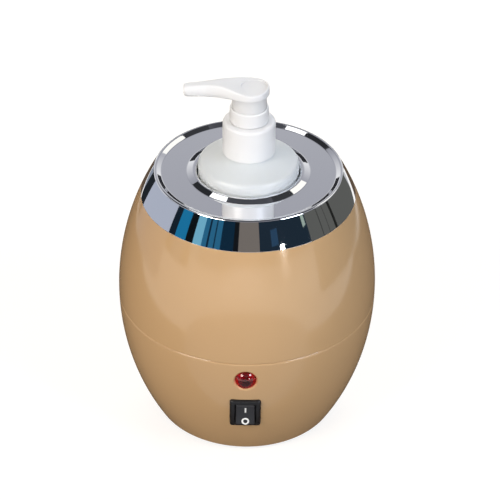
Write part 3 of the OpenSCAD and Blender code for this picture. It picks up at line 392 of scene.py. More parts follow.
finishes = {
    # injection-moulded gloss ABS: even beige, sharp soft-box reflections, a trace of flow marks
    "mouldedGlossAbs": {
        "colour": "#c9a57a", "mottle": "#c6a175", "cloudMm": 45, "smudge": (0.1, 0.15), "smudgeMm": 30,
        "grainMm": 2.2, "grain": 0.012, "shader": {"IOR": 1.54}},
    # the same ABS with a spark-eroded matt face
    "mouldedMattAbs": {
        "colour": "#ab916a", "mottle": "#a48a64", "cloudMm": 30, "smudge": (0.45, 0.6), "smudgeMm": 12,
        "grainMm": 0.7, "grain": 0.25, "shader": {"IOR": 1.54}},
    # bright chrome plate on ABS: mirror-like, with faint wiping marks
    "chromePlate": {
        "colour": "#ecedf0", "smudge": (0.02, 0.06), "smudgeMm": 18, "shader": {"Metallic": 1.0}},
    # blow-moulded polyethylene: milky, lets light in, dull gloss
    "milkyPolyethylene": {
        "colour": "#e3e8e9", "mottle": "#dfe5e6", "cloudMm": 16, "smudge": (0.3, 0.36), "smudgeMm": 9,
        "grainMm": 0.9, "grain": 0.05,
        "shader": {"IOR": 1.51, "Subsurface Weight": 0.7, "Subsurface Scale": 5 * mm,
                   "Subsurface Radius": (1.0, 1.0, 0.95)}},
    # white injection-moulded polypropylene, waxy gloss
    "whitePolypropylene": {
        "colour": "#efefef", "mottle": "#ededee", "cloudMm": 12, "smudge": (0.29, 0.34), "smudgeMm": 7,
        "grainMm": 0.8, "grain": 0.03,
        "shader": {"IOR": 1.49, "Subsurface Weight": 0.2, "Subsurface Scale": 2 * mm,
                   "Subsurface Radius": (1.0, 1.0, 1.0)}},
    # natural polypropylene of the pump's inner pieces
    "naturalPolypropylene": {
        "colour": "#e6e6e2", "mottle": "#dfdfda", "cloudMm": 8, "smudge": (0.35, 0.45), "smudgeMm": 5,
        "shader": {"IOR": 1.49}},
    # black moulded polyamide of the bought-in switch
    "blackPolyamide": {
        "colour": "#161618", "mottle": "#1b1b1d", "cloudMm": 5, "smudge": (0.25, 0.4), "smudgeMm": 4,
        "grainMm": 0.35, "grain": 0.06, "shader": {"IOR": 1.53}},
    # the rocker's polyamide, duller and greyer than the frame's
    "satinPolyamide": {
        "colour": "#2a2a2d", "mottle": "#2f2f32", "cloudMm": 4, "smudge": (0.42, 0.52), "smudgeMm": 3,
        "grainMm": 0.35, "grain": 0.05, "shader": {"IOR": 1.53}},
    # red polycarbonate lens, unlit: its colour runs from bright at the rim to dark in the middle, a painted
    # shade where the dark lamp behind it would show
    "redPolycarbonate": {
        "colour": "#cc161d", "paintedShade": "#5c0c0c", "paintedShadeMm": (2.2, 5.4), "smudge": (0.02, 0.05), "smudgeMm": 6,
        "shader": {"IOR": 1.585, "Transmission Weight": 0.88}},
    # moulded natural nylon of the lamp holder: cream, dull
    "naturalNylon": {
        "colour": "#ded9cc", "mottle": "#d6d1c3", "cloudMm": 6, "smudge": (0.4, 0.5), "smudgeMm": 4,
        "shader": {"IOR": 1.53}},
    # blown clear glass, smooth, with a warm tinge
    "clearGlass": {
        "colour": "#f3e8df", "smudge": (0.01, 0.03), "smudgeMm": 4,
        "shader": {"IOR": 1.5, "Transmission Weight": 1.0}},
    # drawn aluminium, satin from the press
    "drawnAluminium": {
        "colour": "#c5c7ca", "smudge": (0.28, 0.42), "smudgeMm": 3,
        "grainMm": 0.6, "grain": 0.05, "shader": {"Metallic": 1.0}},
    # bright zinc plate on pressed and turned steel: uneven shine
    "zincPlatedSteel": {
        "colour": "#b1b3b6", "smudge": (0.22, 0.4), "smudgeMm": 2, "shader": {"Metallic": 1.0}},
    # rolled stainless sheath of the heater, greyer and duller than zinc
    "rolledStainless": {
        "colour": "#9b9892", "smudge": (0.3, 0.5), "smudgeMm": 3, "shader": {"Metallic": 1.0}},
    # pressed brown phenolic, fine filler shows as mottling
    "brownPhenolic": {
        "colour": "#3d2f27", "mottle": "#46372e", "cloudMm": 2, "smudge": (0.4, 0.55), "smudgeMm": 3,
        "shader": {"IOR": 1.6}},
    # plain brass strip as it leaves the press
    "brassStrip": {
        "colour": "#d3b167", "smudge": (0.2, 0.35), "smudgeMm": 2, "shader": {"Metallic": 1.0}},
    # moulded black rubber: matt, with a fine skin
    "mouldedRubber": {
        "colour": "#252525", "mottle": "#2c2c2c", "cloudMm": 4, "smudge": (0.6, 0.75), "smudgeMm": 3,
        "grainMm": 0.4, "grain": 0.2, "shader": {"IOR": 1.52}},
    # red-brown silicone of the gasket: even, half dull
    "redSilicone": {
        "colour": "#8a4a3a", "mottle": "#7f4435", "cloudMm": 4, "smudge": (0.45, 0.6), "smudgeMm": 3,
        "shader": {"IOR": 1.43}},
    # varnished glass-fibre sleeve: its braid shows as fine relief
    "glassFibreSleeve": {
        "colour": "#ded7c2", "mottle": "#d2cab3", "cloudMm": 1.2, "smudge": (0.55, 0.7), "smudgeMm": 1,
        "grainMm": 0.5, "grain": 0.3, "shader": {"IOR": 1.5}},
    # white pad print on the rocker
    "printWhite": {
        "colour": "#f2f2f0", "mottle": "#ebebe8", "cloudMm": 1.5, "smudge": (0.4, 0.5), "smudgeMm": 1,
        "shader": {"IOR": 1.5}},
}
# painted shade: the lens's colour darkens towards the middle of its front, where the dark lamp behind it
# would show
lensLow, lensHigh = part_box("lamp_lens")
finishes["redPolycarbonate"]["middle"] = (0, lensLow.y, (lensLow.z + lensHigh.z) / 2)
materials = {name: finishMaterial(name, finish) for name, finish in finishes.items()}

# which finish each material slot of the record takes
slotFinish = {
    "housing_abs": "mouldedGlossAbs", "base_abs": "mouldedMattAbs", "ring_chrome": "chromePlate",
    "bottle_pe": "milkyPolyethylene", "pump_pp": "whitePolypropylene", "pump_inner": "naturalPolypropylene",
    "switch_black": "blackPolyamide", "lens_red": "redPolycarbonate", "holder_nylon": "naturalNylon",
    "bulb_glass": "clearGlass", "cup_aluminium": "drawnAluminium", "steel": "zincPlatedSteel",
    "heater_steel": "rolledStainless", "phenolic": "brownPhenolic", "brass": "brassStrip",
    "rubber_black": "mouldedRubber", "silicone": "redSilicone", "sleeve": "glassFibreSleeve",
}
nodeSlot = {row["node"]: row["material_slot"] for row in frame["record"]["subparts"]}
for name, node in nodes.items():
    node.data.materials.clear()
    node.data.materials.append(materials[slotFinish[nodeSlot[name]]])
print("materials made:", len(materials))


roundSteps = 6              # facets across a rounding
weldReach = 0.002 * mm      # corners closer than this are one


# a section of (radius, height, rounding) corners in mm, turned round Z
def turned(corners, steps=144, closed=True):
    bm = bmesh.new()
    section = [bm.verts.new((radius * mm, 0, height * mm)) for radius, height, rounding in corners]
    following = section[1:] + section[:1] if closed else section[1:]
    for a, b in zip(section, following):
        bm.edges.new((a, b))
    for size in sorted({corner[2] for corner in corners if corner[2] > 0}):
        picked = [v for v, corner in zip(section, corners) if corner[2] == size]
        bmesh.ops.bevel(bm, geom=picked, offset=size * mm, offset_type="OFFSET", affect="VERTICES",
                        segments=roundSteps, profile=0.5, material=-1)
    bmesh.ops.spin(bm, geom=bm.verts[:] + bm.edges[:], cent=(0, 0, 0), axis=(0, 0, 1),
                   angle=2 * math.pi, steps=steps, use_merge=True, use_duplicate=False)
    bmesh.ops.remove_doubles(bm, verts=bm.verts, dist=weldReach)
    bmesh.ops.recalc_face_normals(bm, faces=bm.faces)
    return bm


# block between two corners in mm, its upright edges rounded
def block(low, high, rounding=0):
    bm = bmesh.new()
    bmesh.ops.create_cube(bm, size=1)
    size = Vector(high) - Vector(low)
    middle = (Vector(high) + Vector(low)) / 2
    bmesh.ops.scale(bm, vec=size * mm, verts=bm.verts)
    bmesh.ops.translate(bm, vec=middle * mm, verts=bm.verts)
    if rounding > 0:
        upright = [e for e in bm.edges if abs(e.verts[0].co.z - e.verts[1].co.z) > weldReach]
        bmesh.ops.bevel(bm, geom=upright, offset=rounding * mm, offset_type="OFFSET", affect="EDGES",
                        segments=roundSteps, profile=0.5, material=-1)
    return bm


# block centred on Z, from one height to another
def plate(wide, tall, low, high, rounding=0):
    return block((-wide / 2, -tall / 2, low), (wide / 2, tall / 2, high), rounding)


def moved(bm, place):
    bmesh.ops.transform(bm, matrix=place, verts=bm.verts)
    return bm


# smooth faces, but for edges sharper than an angle in degrees
def smoothFaces(mesh, sharpAngle):
    mesh.shade_smooth()
    mesh.set_sharp_from_angle(angle=math.radians(sharpAngle))


# a bmesh becomes a piece at the origin
def makePiece(name, bm, finish, sharpAngle=32):
    mesh = bpy.data.meshes.new(name)
    bm.to_mesh(mesh)
    bm.free()
    smoothFaces(mesh, sharpAngle)
    mesh.materials.append(materials[finish])
    piece = bpy.data.objects.new(name, mesh)
    bpy.context.scene.collection.objects.link(piece)
    return piece


# large faces keep their own direction, so that flats stay flat beside a rounding
def weighNormals(piece):
    weigh = piece.modifiers.new("faceWeight", "WEIGHTED_NORMAL")
    weigh.keep_sharp = True
    weigh.weight = 80


# solids are joined or cut with Blender's exact booleans, applied at once
def cutAndJoin(piece, tools):
    for bm, operation in tools:
        mesh = bpy.data.meshes.new("cuttingTool")
        bm.to_mesh(mesh)
        bm.free()
        tool = bpy.data.objects.new("cuttingTool", mesh)
        bpy.context.scene.collection.objects.link(tool)
        step = piece.modifiers.new("cut", "BOOLEAN")
        step.operation = operation
        step.solver = "EXACT"
        step.object = tool
        shaped = piece.evaluated_get(bpy.context.evaluated_depsgraph_get())
        result = bpy.data.meshes.new_from_object(shaped)
        piece.modifiers.clear()
        piece.data = result
        bpy.data.objects.remove(tool)


# a piece that stands for a CAD node of one body
def standsFor(piece, body, cadNode):
    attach(piece, body)
    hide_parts(cadNode)


# lower and upper limits of a node, in mm
def limits(node):
    low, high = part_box(node)
    return low / mm, high / mm


# housing halves, in mm: the side is one arc, so radius and tilt follow from the height
housing = {
    "bulge": 150, "wideHeight": 76.5, "wall": 2.5,
    "baseRound": 0.9, "seamLow": 1.5, "seamHigh": 0.12, "ringEdge": 0.25, "rebateRound": 0.2,
    "ledgeWidth": 8, "ledgeTop": 8, "deckWidth": 5,
}
baseHeight = limits("lower_housing")[0].z
seamHeight = limits("upper_housing")[0].z
ringHeight = limits("top_ring")[0].z
crestHeight = limits("top_ring")[1].z
wideRadius = limits("upper_housing")[1].x


def sideRadius(height, inset=0):
    reach = housing["bulge"] - inset
    return wideRadius - housing["bulge"] + math.sqrt(reach ** 2 - (height - housing["wideHeight"]) ** 2)


def sideArc(start, end, inset=0, count=26):
    heights = [start + (end - start) * i / count for i in range(count + 1)]
    return [(sideRadius(height, inset), height, 0) for height in heights]


# frame on the side wall: Z points out of the wall, Y up along it
def onSide(height):
    tilt = math.asin((housing["wideHeight"] - height) / housing["bulge"])
    place = Vector((0, -sideRadius(height), height)) * mm
    return Matrix.Translation(place) @ Matrix.Rotation(math.pi / 2 + tilt, 4, "X")


# lamp in mm: the lens, and the brim that rounds the wall down to it from brimFrom degrees
lamp = {
    "height": 63.2, "lens": 5.65, "lensWall": 1.2, "dome": 3.3, "domeSteps": 12, "base": 0.5,
    "footRound": 0.25, "back": 4.7, "flange": 1.5, "flangeThick": 1.2, "flangeRound": 0.2,
    "gap": 0.2, "brim": 2.5, "brimFrom": 42, "brimSteps": 8, "drop": 0.08, "holeDepth": 8, "clear": 2,
}

# switch in mm: bezel plate, well, hollow body behind it, rocker, and what they need in the wall
switch = {
    "height": 38.5, "frame": (16.6, 21.6), "thick": 2, "corner": 1.6, "edge": 1.2, "edgeSteps": 4,
    "well": (10.8, 16), "wellDepth": 6, "wellClear": 5, "funnel": 0.5, "funnelCorner": 0.4,
    "bodyWall": 1.1, "bodyDepth": 12, "bodyTop": 1,
    "seat": 0.92, "gap": 0.2, "seatClear": 6, "holeMargin": 1.3, "holeDepth": 8,
    "rocker": 10.2, "rockerRadius": 7.7, "arcSteps": 10, "pivot": -0.5, "below": 3,
    "rockerEdge": 0.75, "rockerEdgeSteps": 3,
    "throw": 24, "edgeAngle": 30,       # degrees; rocker edges sharper than edgeAngle are rounded
}

# recess for the inlet in mm: the room round it, and the passage to its back
inlet = {
    "gap": 0.2, "seat": 2, "wall": 2.5, "clear": 10, "margin": 1,
    "axis": 0.01,                       # radius in place of none, so that the section closes
    "passage": (4, 2.5), "passageFrom": 30, "passageLap": 1,
}


# walls of the recess, trimmed to the side of the housing, and what is cut out of them
def inletTools():
    low, high = limits("inlet_body")
    gap = inlet["gap"]
    seat = high.y - inlet["seat"]
    room = (Vector((low.x - gap, seat, low.z - gap)),
            Vector((high.x + gap, wideRadius + inlet["clear"], high.z + gap)))
    thick = Vector((inlet["wall"],) * 3)
    recessPiece = makePiece("recessBlock", block(room[0] - thick, room[1] + thick), "mouldedGlossAbs")
    bottom = baseHeight + inlet["margin"]
    top = seamHeight - inlet["margin"]
    side = sideArc(bottom, top, housing["wall"] / 2)
    solidSide = turned([(inlet["axis"], bottom, 0)] + side + [(inlet["axis"], top, 0)])
    cutAndJoin(recessPiece, [(solidSide, "INTERSECT")])
    recess = bmesh.new()
    recess.from_mesh(recessPiece.data)
    bpy.data.objects.remove(recessPiece)
    across, up = inlet["passage"]
    passage = block((low.x + across, inlet["passageFrom"], low.z + up),
                    (high.x - across, seat + inlet["passageLap"], high.z - up))
    return [(recess, "UNION"), (block(*room), "DIFFERENCE"), (passage, "DIFFERENCE")]


# flat seat for the bezel, and the hole for the body behind it
def switchTools():
    wide, tall = switch["frame"]
    around = 2 * switch["gap"]
    seat = plate(wide + around, tall + around, -switch["seat"], switch["seatClear"], switch["corner"])
    wide, tall = switch["well"]
    around = 2 * switch["holeMargin"]
    hole = plate(wide + around, tall + around, -switch["holeDepth"], 0)
    place = onSide(switch["height"])
    return [(moved(seat, place), "DIFFERENCE"), (moved(hole, place), "DIFFERENCE")]


# hole for the lens, with its rounded brim
def lampTools():
    hole = lamp["lens"] + lamp["gap"]
    brim = lamp["brim"]
    steps = lamp["brimSteps"]
    steep = math.radians(lamp["brimFrom"])
    turns = [steep + (math.pi / 2 - steep) * i / steps for i in range(steps + 1)]
    curve = [(hole + brim * (math.cos(steep) - math.cos(a)), brim * (math.sin(a) - 1) - lamp["drop"], 0)
             for a in turns]
    bottom = -lamp["holeDepth"]
    top = lamp["clear"]
    section = [(0, bottom, 0), (hole, bottom, 0)] + curve + [(curve[-1][0], top, 0), (0, top, 0)]
    return [(moved(turned(section, steps=72, closed=False), onSide(lamp["height"])), "DIFFERENCE")]


def makeLowerShell():
    wall = housing["wall"]
    rebate = sideRadius(baseHeight) - wall
    ledge = rebate - housing["ledgeWidth"]
    plateTop = limits("base_plate")[1].z
    outer = sideArc(baseHeight, seamHeight)
    outer[0] = (*outer[0][:2], housing["baseRound"])
    outer[-1] = (*outer[-1][:2], housing["seamLow"])
    inner = sideArc(seamHeight, housing["ledgeTop"], wall)
    floorStep = [(ledge, housing["ledgeTop"], 0),
                 (ledge, plateTop, 0),
                 (rebate, plateTop, 0),
                 (rebate, baseHeight, housing["rebateRound"])]
    shell = makePiece("lowerShell", turned(outer + inner + floorStep), "mouldedGlossAbs")
    cutAndJoin(shell, inletTools() + switchTools() + lampTools())
    smoothFaces(shell.data, sharpAngle=25)
    weighNormals(shell)
    standsFor(shell, "base", "lower_housing")


def makeUpperShell():
    wall = housing["wall"]
    under = ringHeight - wall
    outer = sideArc(seamHeight, ringHeight)
    outer[0] = (*outer[0][:2], housing["seamHigh"])
    outer[-1] = (*outer[-1][:2], housing["ringEdge"])
    bore = limits("heating_cup")[1].x - housing["deckWidth"]
    inner = [(bore, ringHeight, 0), (bore, under, 0)] + sideArc(under, seamHeight, wall)
    shell = makePiece("upperShell", turned(outer + inner), "mouldedGlossAbs")
    weighNormals(shell)
    standsFor(shell, "base", "upper_housing")


makeLowerShell()
makeUpperShell()
print("housing halves turned")


# chrome ring in mm: skirt in line with the side, rounded rim, slope to the flat, lip round the opening
ring = {
    "wall": 2, "rimRound": 1.5, "rimSlope": 3.4, "flat": 150, "flatRound": 0.35,
    "lip": 151.4, "lipWidth": 4, "lipFlat": 0.5, "lipRound": 1.3,
    "bead": 1.6, "beadLow": 147.5, "beadRound": 0.6, "opening": 28.8, "tubeLow": 139.5,
    "skirtSteps": 14, "innerSteps": 6,
}


def makeChromeRing():
    wall = ring["wall"]
    flat = ring["flat"]
    under = flat - wall
    opening = ring["opening"]
    throat = opening - ring["bead"]
    skirt = sideArc(ringHeight, crestHeight, 0, ring["skirtSteps"])
    crest = skirt[-1][0]
    slopeFoot = crest - ring["rimSlope"]
    skirt[0] = (*skirt[0][:2], housing["ringEdge"])
    skirt[-1] = (crest, crestHeight, ring["rimRound"])
    top = [(slopeFoot, flat, ring["flatRound"]),
           (opening + ring["lipWidth"], flat, ring["flatRound"]),
           (opening + ring["lipFlat"], ring["lip"], ring["flatRound"]),
           (throat, ring["lip"], ring["lipRound"]),
           (throat, ring["beadLow"], ring["beadRound"]),
           (opening, ring["beadLow"] - ring["bead"], 0),
           (opening, ring["tubeLow"], 0)]
    inside = [(opening + wall, ring["tubeLow"], 0),
              (opening + wall, under, 0),
              (slopeFoot, under, 0)]
    inside += sideArc(under, ringHeight, wall, ring["innerSteps"])
    piece = makePiece("chromeRing", turned(skirt + top + inside, steps=192), "chromePlate")
    weighNormals(piece)
    standsFor(piece, "base", "top_ring")


makeChromeRing()
print("chrome ring turned")


# bottle in mm: pushed-up base, straight side, rounded shoulder edge, sloped shoulder, neck
bottle = {
    "wall": 1.2, "corner": 5, "pushUp": 2, "pushUpFoot": 2, "pushUpSlope": 4, "pushUpRound": 0.8,
    "shoulder": 156.5, "edge": 2, "neck": 11.9, "neckFoot": 162.6, "fillet": 3,
    "bore": 9, "boreRound": 0.6, "rimRound": 0.3,
    "rimGap": 0.05,                     # clear of the pump's gasket
}


def makeBottle():
    low, high = limits("bottle")
    radius = high.x
    wall = bottle["wall"]
    pushUp = low.z + bottle["pushUp"]
    foot = radius - bottle["corner"] - bottle["pushUpFoot"]
    rim = high.z - bottle["rimGap"]
    outside = [(0, pushUp, 0),
               (foot - bottle["pushUpSlope"], pushUp, bottle["pushUpRound"]),
               (foot, low.z, bottle["pushUpRound"]),
               (radius, low.z, bottle["corner"]),
               (radius, bottle["shoulder"], bottle["edge"]),
               (bottle["neck"], bottle["neckFoot"], bottle["fillet"]),
               (bottle["neck"], rim, bottle["rimRound"])]
    inside = [(bottle["bore"], rim, bottle["rimRound"]),
              (bottle["bore"], bottle["neckFoot"] - wall, bottle["boreRound"]),
              (radius - wall, bottle["shoulder"] - wall, bottle["edge"] - wall),
              (radius - wall, pushUp + wall, bottle["corner"] - wall),
              (0, pushUp + wall, 0)]
    shape = turned(outside + inside, steps=128, closed=False)
    standsFor(makePiece("oilBottle", shape, "milkyPolyethylene"), "bottle", "bottle")


# screw collar of the pump, in mm
collar = {"topRound": 1.7, "lowRound": 0.35, "mouthRound": 0.2, "top": 1.6, "bore": 12.2, "throat": 7.8}


def makeCollar():
    low, high = limits("pump_collar")
    under = high.z - collar["top"]
    corners = [(high.x, low.z, collar["lowRound"]),
               (high.x, high.z, collar["topRound"]),
               (collar["throat"], high.z, collar["mouthRound"]),
               (collar["throat"], under, 0),
               (collar["bore"], under, 0),
               (collar["bore"], low.z, collar["mouthRound"])]
    shape = turned(corners, steps=128)
    standsFor(makePiece("screwCollar", shape, "whitePolypropylene"), "collar", "pump_collar")


# locking ring on the collar, in mm: the head's neck goes down in it as far as the web
lockRing = {
    "lift": 0.3, "bore": 9.2, "topRound": 0.85, "lowRound": 0.3, "mouthRound": 0.1,
    "webLow": 183.2, "web": 1.6, "guide": 3.65, "rim": 7.55,
}


def makeLockRing():
    high = limits("pump_chaplet")[1]
    low = limits("pump_collar")[1].z + lockRing["lift"]
    webLow = lockRing["webLow"]
    webTop = webLow + lockRing["web"]
    corners = [(high.x, low, lockRing["lowRound"]),
               (high.x, high.z, lockRing["topRound"]),
               (lockRing["bore"], high.z, lockRing["mouthRound"]),
               (lockRing["bore"], webTop, 0),
               (lockRing["guide"], webTop, 0),
               (lockRing["guide"], webLow, 0),
               (lockRing["rim"], webLow, 0),
               (lockRing["rim"], low, 0)]
    shape = turned(corners, steps=128)
    standsFor(makePiece("lockingRing", shape, "whitePolypropylene"), "pump", "pump_chaplet")


makeBottle()
makeCollar()
makeLockRing()
print("bottle, collar and locking ring turned")


# press head in mm: round end with a finger rest, and a nozzle whose ridge falls to the tip
head = {
    "disc": 10.3, "edge": 0.85, "lowEdge": 0.4, "edgeSteps": 5, "discSteps": 36,
    "joint": -4.5,              # X where the nozzle's own width takes over from the round end
    "blade": (-13, -6),         # X between which the underside turns from a flat to a keel
    "bar": 3.1, "barHeight": 199.5, "barSteps": 34, "under": 197.5, "rest": 201.1,
    "belly": 196.0, "bellyShare": 0.5,
    "tipRound": 1.8, "topRound": 0.35, "tipTaper": 0.2, "tipShare": 0.06, "tipSteps": 6,
    # half-width of the flat top along X
    "ridge": [(-34, 1.0), (-30, 1.4), (-26, 1.85), (-22, 2.3), (-19, 2.8), (-16, 3.65), (-13, 4.9),
              (-10, 6.1), (-7, 7.4), (-4.5, 8.35)],
    # top above the rest along X
    "spine": [(-34, 0.9), (-30, 1.3), (-26, 1.75), (-22, 2.1), (-18, 2.35), (-15, 2.35), (-12, 2.05),
              (-9, 1.55), (-6, 1.0), (-3, 0.5), (0, 0.15), (2.2, 0.05), (5, 0.2), (8, 0.6), (10.3, 1.0)],
    "dish": 7, "dishCentre": 2.4, "dishDepth": 0.45, "dishRise": 0.4, "dishSteps": 5, "dishRound": 0.5,
    "dishFlare": 0.12, "dishClear": 4,
    "neck": 9, "neckWall": 1.4, "neckRound": 0.3, "neckMouth": 0.2, "neckFlare": 0.3, "flareLap": 0.1,
    "neckLap": 1,
    "bore": 1.5, "boreDepth": 9, "boreLap": 1, "boreHeight": 198.5,
    "seamTurn": 1.3,            # degrees, so that no tool has a corner on the loft's middle line
    "weld": 0.003,              # corners of the loft closer than this are one
}


# value from a table of (place, value) pairs, straight lines between them
def between(table, place):
    for (a, low), (b, high) in zip(table, table[1:]):
        if place <= b:
            share = max(0, (place - a) / (b - a))
            return low + (high - low) * share
    return table[-1][1]


# half of one cross-section, from the middle of the top to the middle of the underside
def headSection(x, tip):
    disc = head["disc"]
    edge = head["edge"]
    start, end = head["blade"]
    bar = min(1, max(0, (end - x) / (end - start)))     # 0 on the round end, 1 along the nozzle
    bar = bar * bar * (3 - 2 * bar)
    near = max(0, (tip + head["tipRound"] - x) / head["tipRound"])
    curl = 1 - math.sqrt(max(0, 1 - near ** 2))         # 1 at the tip's face, 0 past its rounding
    taper = 1 - head["tipTaper"] * curl
    top = head["rest"] + between(head["spine"], x) - head["topRound"] * curl
    side = top - edge + (head["barHeight"] - top + edge) * bar
    sideLow = head["under"] + head["lowEdge"]
    sideLow += (head["barHeight"] - sideLow) * bar
    low = head["under"] + (head["belly"] - head["under"]) * bar + head["tipRound"] * curl
    ridge = between(head["ridge"], x) * taper
    wide = max(head["bar"], between(head["ridge"], x) + edge) * taper
    lowInset = head["lowEdge"] * (1 - bar) + wide * head["bellyShare"] * bar

    def halfWidth(inset, upper):
        if x > head["joint"]:
            return math.sqrt(max(0, (disc - inset) ** 2 - x ** 2))
        return wide - (wide - ridge) * inset / edge if upper else wide - inset

    spare = max(0, disc - x)
    upFrom = math.asin(1 - min(1, spare / edge))
    downTo = math.acos(1 - min(1, spare / lowInset)) if x > head["joint"] else math.pi / 2
    steps = head["edgeSteps"]
    quarter = [i / steps * math.pi / 2 for i in range(steps + 1)]
    points = []
    for turn in quarter:
        turn = max(upFrom, turn)
        inset = edge * (1 - math.sin(turn))
        points.append((halfWidth(inset, True), side + (top - side) * math.cos(turn)))
    for turn in quarter:
        turn = min(downTo, turn)
        inset = lowInset * (1 - math.cos(turn))
        points.append((halfWidth(inset, False), sideLow - (sideLow - low) * math.sin(turn)))
    first, last = points[0], points[-1]
    return [(0, first[1]), (first[0] / 2, first[1])] + points + [(last[0] / 2, last[1]), (0, last[1])]


# cross-sections from the tip to the far end of the round end, skinned
def headLoft(tip):
    joint = head["joint"]
    tipShare = head["tipShare"]
    shares = [tipShare * i / head["tipSteps"] for i in range(head["tipSteps"])]
    shares += [tipShare + (1 - tipShare) * i / head["barSteps"] for i in range(head["barSteps"])]
    places = [tip + (joint - tip) * share for share in shares]
    begin = math.asin(joint / head["disc"])
    steps = head["discSteps"]
    places += [head["disc"] * math.sin(begin + (math.pi / 2 - begin) * i / steps) for i in range(steps + 1)]
    bm = bmesh.new()
    sections = []
    for x in places:
        half = headSection(x, tip)
        loop = half + [(-y, z) for y, z in reversed(half[1:-1])]
        sections.append([bm.verts.new(Vector((x, y, z)) * mm) for y, z in loop])
    for a, b in zip(sections, sections[1:]):
        for i in range(len(a)):
            bm.faces.new((a[i - 1], a[i], b[i], b[i - 1]))
    bm.faces.new(sections[0])
    bmesh.ops.remove_doubles(bm, verts=bm.verts, dist=head["weld"] * mm)
    bmesh.ops.dissolve_degenerate(bm, dist=weldReach, edges=bm.edges)
    bmesh.ops.recalc_face_normals(bm, faces=bm.faces)
    return bm


# neck under the round end, finger rest in its top, bore in the nozzle's tip
def headTools(tip, bottom):
    aside = Matrix.Rotation(math.radians(head["seamTurn"]), 4, "Z")
    neck = head["neck"]
    flare = neck + head["neckFlare"]
    inside = neck - head["neckWall"]
    under = head["under"]
    top = under + head["neckLap"]
    tube = turned([(neck, bottom, head["neckRound"]),
                   (neck, under - head["neckFlare"], 0),
                   (flare, under + head["flareLap"], 0),
                   (flare, top, 0),
                   (inside, top, 0),
                   (inside, bottom, head["neckMouth"])], steps=112)

    dish = head["dish"]
    rise = head["dishRise"]
    floor = head["rest"] - head["dishDepth"]
    clear = head["rest"] + head["dishClear"]
    shares = [i / head["dishSteps"] for i in range(1, head["dishSteps"])]
    bowl = [(0, floor, 0)] + [(dish * share, floor + rise * share ** 2, 0) for share in shares]
    bowl += [(dish, floor + rise, head["dishRound"]), (dish + head["dishFlare"], clear, 0), (0, clear, 0)]
    onRest = Matrix.Translation((head["dishCentre"] * mm, 0, 0)) @ aside

    deep = head["boreDepth"] + head["boreLap"]
    bore = turned([(0, 0, 0), (head["bore"], 0, 0), (head["bore"], deep, 0), (0, deep, 0)],
                  steps=40, closed=False)
    mouth = Matrix.Translation(Vector((tip - head["boreLap"], 0, head["boreHeight"])) * mm)
    return [(moved(tube, aside), "UNION"),
            (moved(turned(bowl, steps=96, closed=False), onRest), "DIFFERENCE"),
            (moved(bore, mouth @ Matrix.Rotation(math.pi / 2, 4, "Y")), "DIFFERENCE")]


def makePressHead():
    low = limits("pump_head")[0]
    piece = makePiece("pressHead", headLoft(low.x), "whitePolypropylene")
    cutAndJoin(piece, headTools(low.x, low.z))
    smoothFaces(piece.data, sharpAngle=40)
    standsFor(piece, "head", "pump_head")


makePressHead()
print("press head lofted")


# switch bezel: rounded plate with a funnel into the well, on the flat seat in the wall
def makeBezel():
    wide, tall = switch["frame"]
    wellWide, wellTall = switch["well"]
    thick = switch["thick"]
    bm = plate(wide, tall, 0, thick, switch["corner"])
    front = max(bm.faces, key=lambda face: face.calc_center_median().z)
    bmesh.ops.bevel(bm, geom=list(front.edges), offset=switch["edge"] * mm, offset_type="OFFSET",
                    affect="EDGES", segments=switch["edgeSteps"], profile=0.5, material=-1)
    piece = makePiece("switchBezel", bm, "blackPolyamide")

    around = 2 * switch["bodyWall"]
    body = plate(wellWide + around, wellTall + around, -switch["bodyDepth"], switch["bodyTop"])
    well = plate(wellWide, wellTall, -switch["wellDepth"], switch["wellClear"])
    funnel = switch["funnel"]
    flareWide = wellWide + 4 * funnel       # widens at 45 degrees, halfway up at the plate's front
    flareTall = wellTall + 4 * funnel
    flare = plate(flareWide, flareTall, thick - funnel, thick + funnel, switch["funnelCorner"])
    lower = [vert for vert in flare.verts if vert.co.z < thick * mm]
    bmesh.ops.scale(flare, vec=(wellWide / flareWide, wellTall / flareTall, 1), verts=lower)
    cutAndJoin(piece, [(body, "UNION"), (well, "DIFFERENCE"), (flare, "DIFFERENCE")])
    piece.data.transform(onSide(switch["height"]) @ Matrix.Translation((0, 0, -switch["seat"] * mm)))
    smoothFaces(piece.data, sharpAngle=30)
    weighNormals(piece)
    standsFor(piece, "base", "switch_frame")


# marks printed on the rocker, in mm
rockerMarks = {"bar": (1.0, 5.1), "stroke": 0.9, "ring": 4.1, "ringPlace": -4.6, "shift": 0.1,
               "proud": 0.04, "sunk": 0.2}


# one bmesh takes in another, as print on its surface
def takeInPrint(bm, mark):
    for face in mark.faces:
        face.material_index = 1
    mesh = bpy.data.meshes.new("print")
    mark.to_mesh(mesh)
    mark.free()
    bm.from_mesh(mesh)
    bpy.data.meshes.remove(mesh)


# the bar of I on one flat and the ring of O on the other, both sloped by half the throw
def printMarks(bm, top, half):
    crown = Matrix.Translation((0, 0, top * mm))
    low = -rockerMarks["sunk"]
    proud = rockerMarks["proud"]
    stroke = rockerMarks["stroke"]
    shift = rockerMarks["shift"]
    start, end = rockerMarks["bar"]
    barMark = block((shift - stroke / 2, start, low), (shift + stroke / 2, end, proud))
    takeInPrint(bm, moved(barMark, crown @ Matrix.Rotation(half, 4, "X")))
    outer = rockerMarks["ring"] / 2
    inner = outer - stroke
    ringMark = turned([(outer, low, 0), (outer, proud, 0), (inner, proud, 0), (inner, low, 0)], steps=56)
    spot = Matrix.Translation((shift * mm, rockerMarks["ringPlace"] * mm, 0))
    takeInPrint(bm, moved(ringMark, crown @ Matrix.Rotation(-half, 4, "X") @ spot))


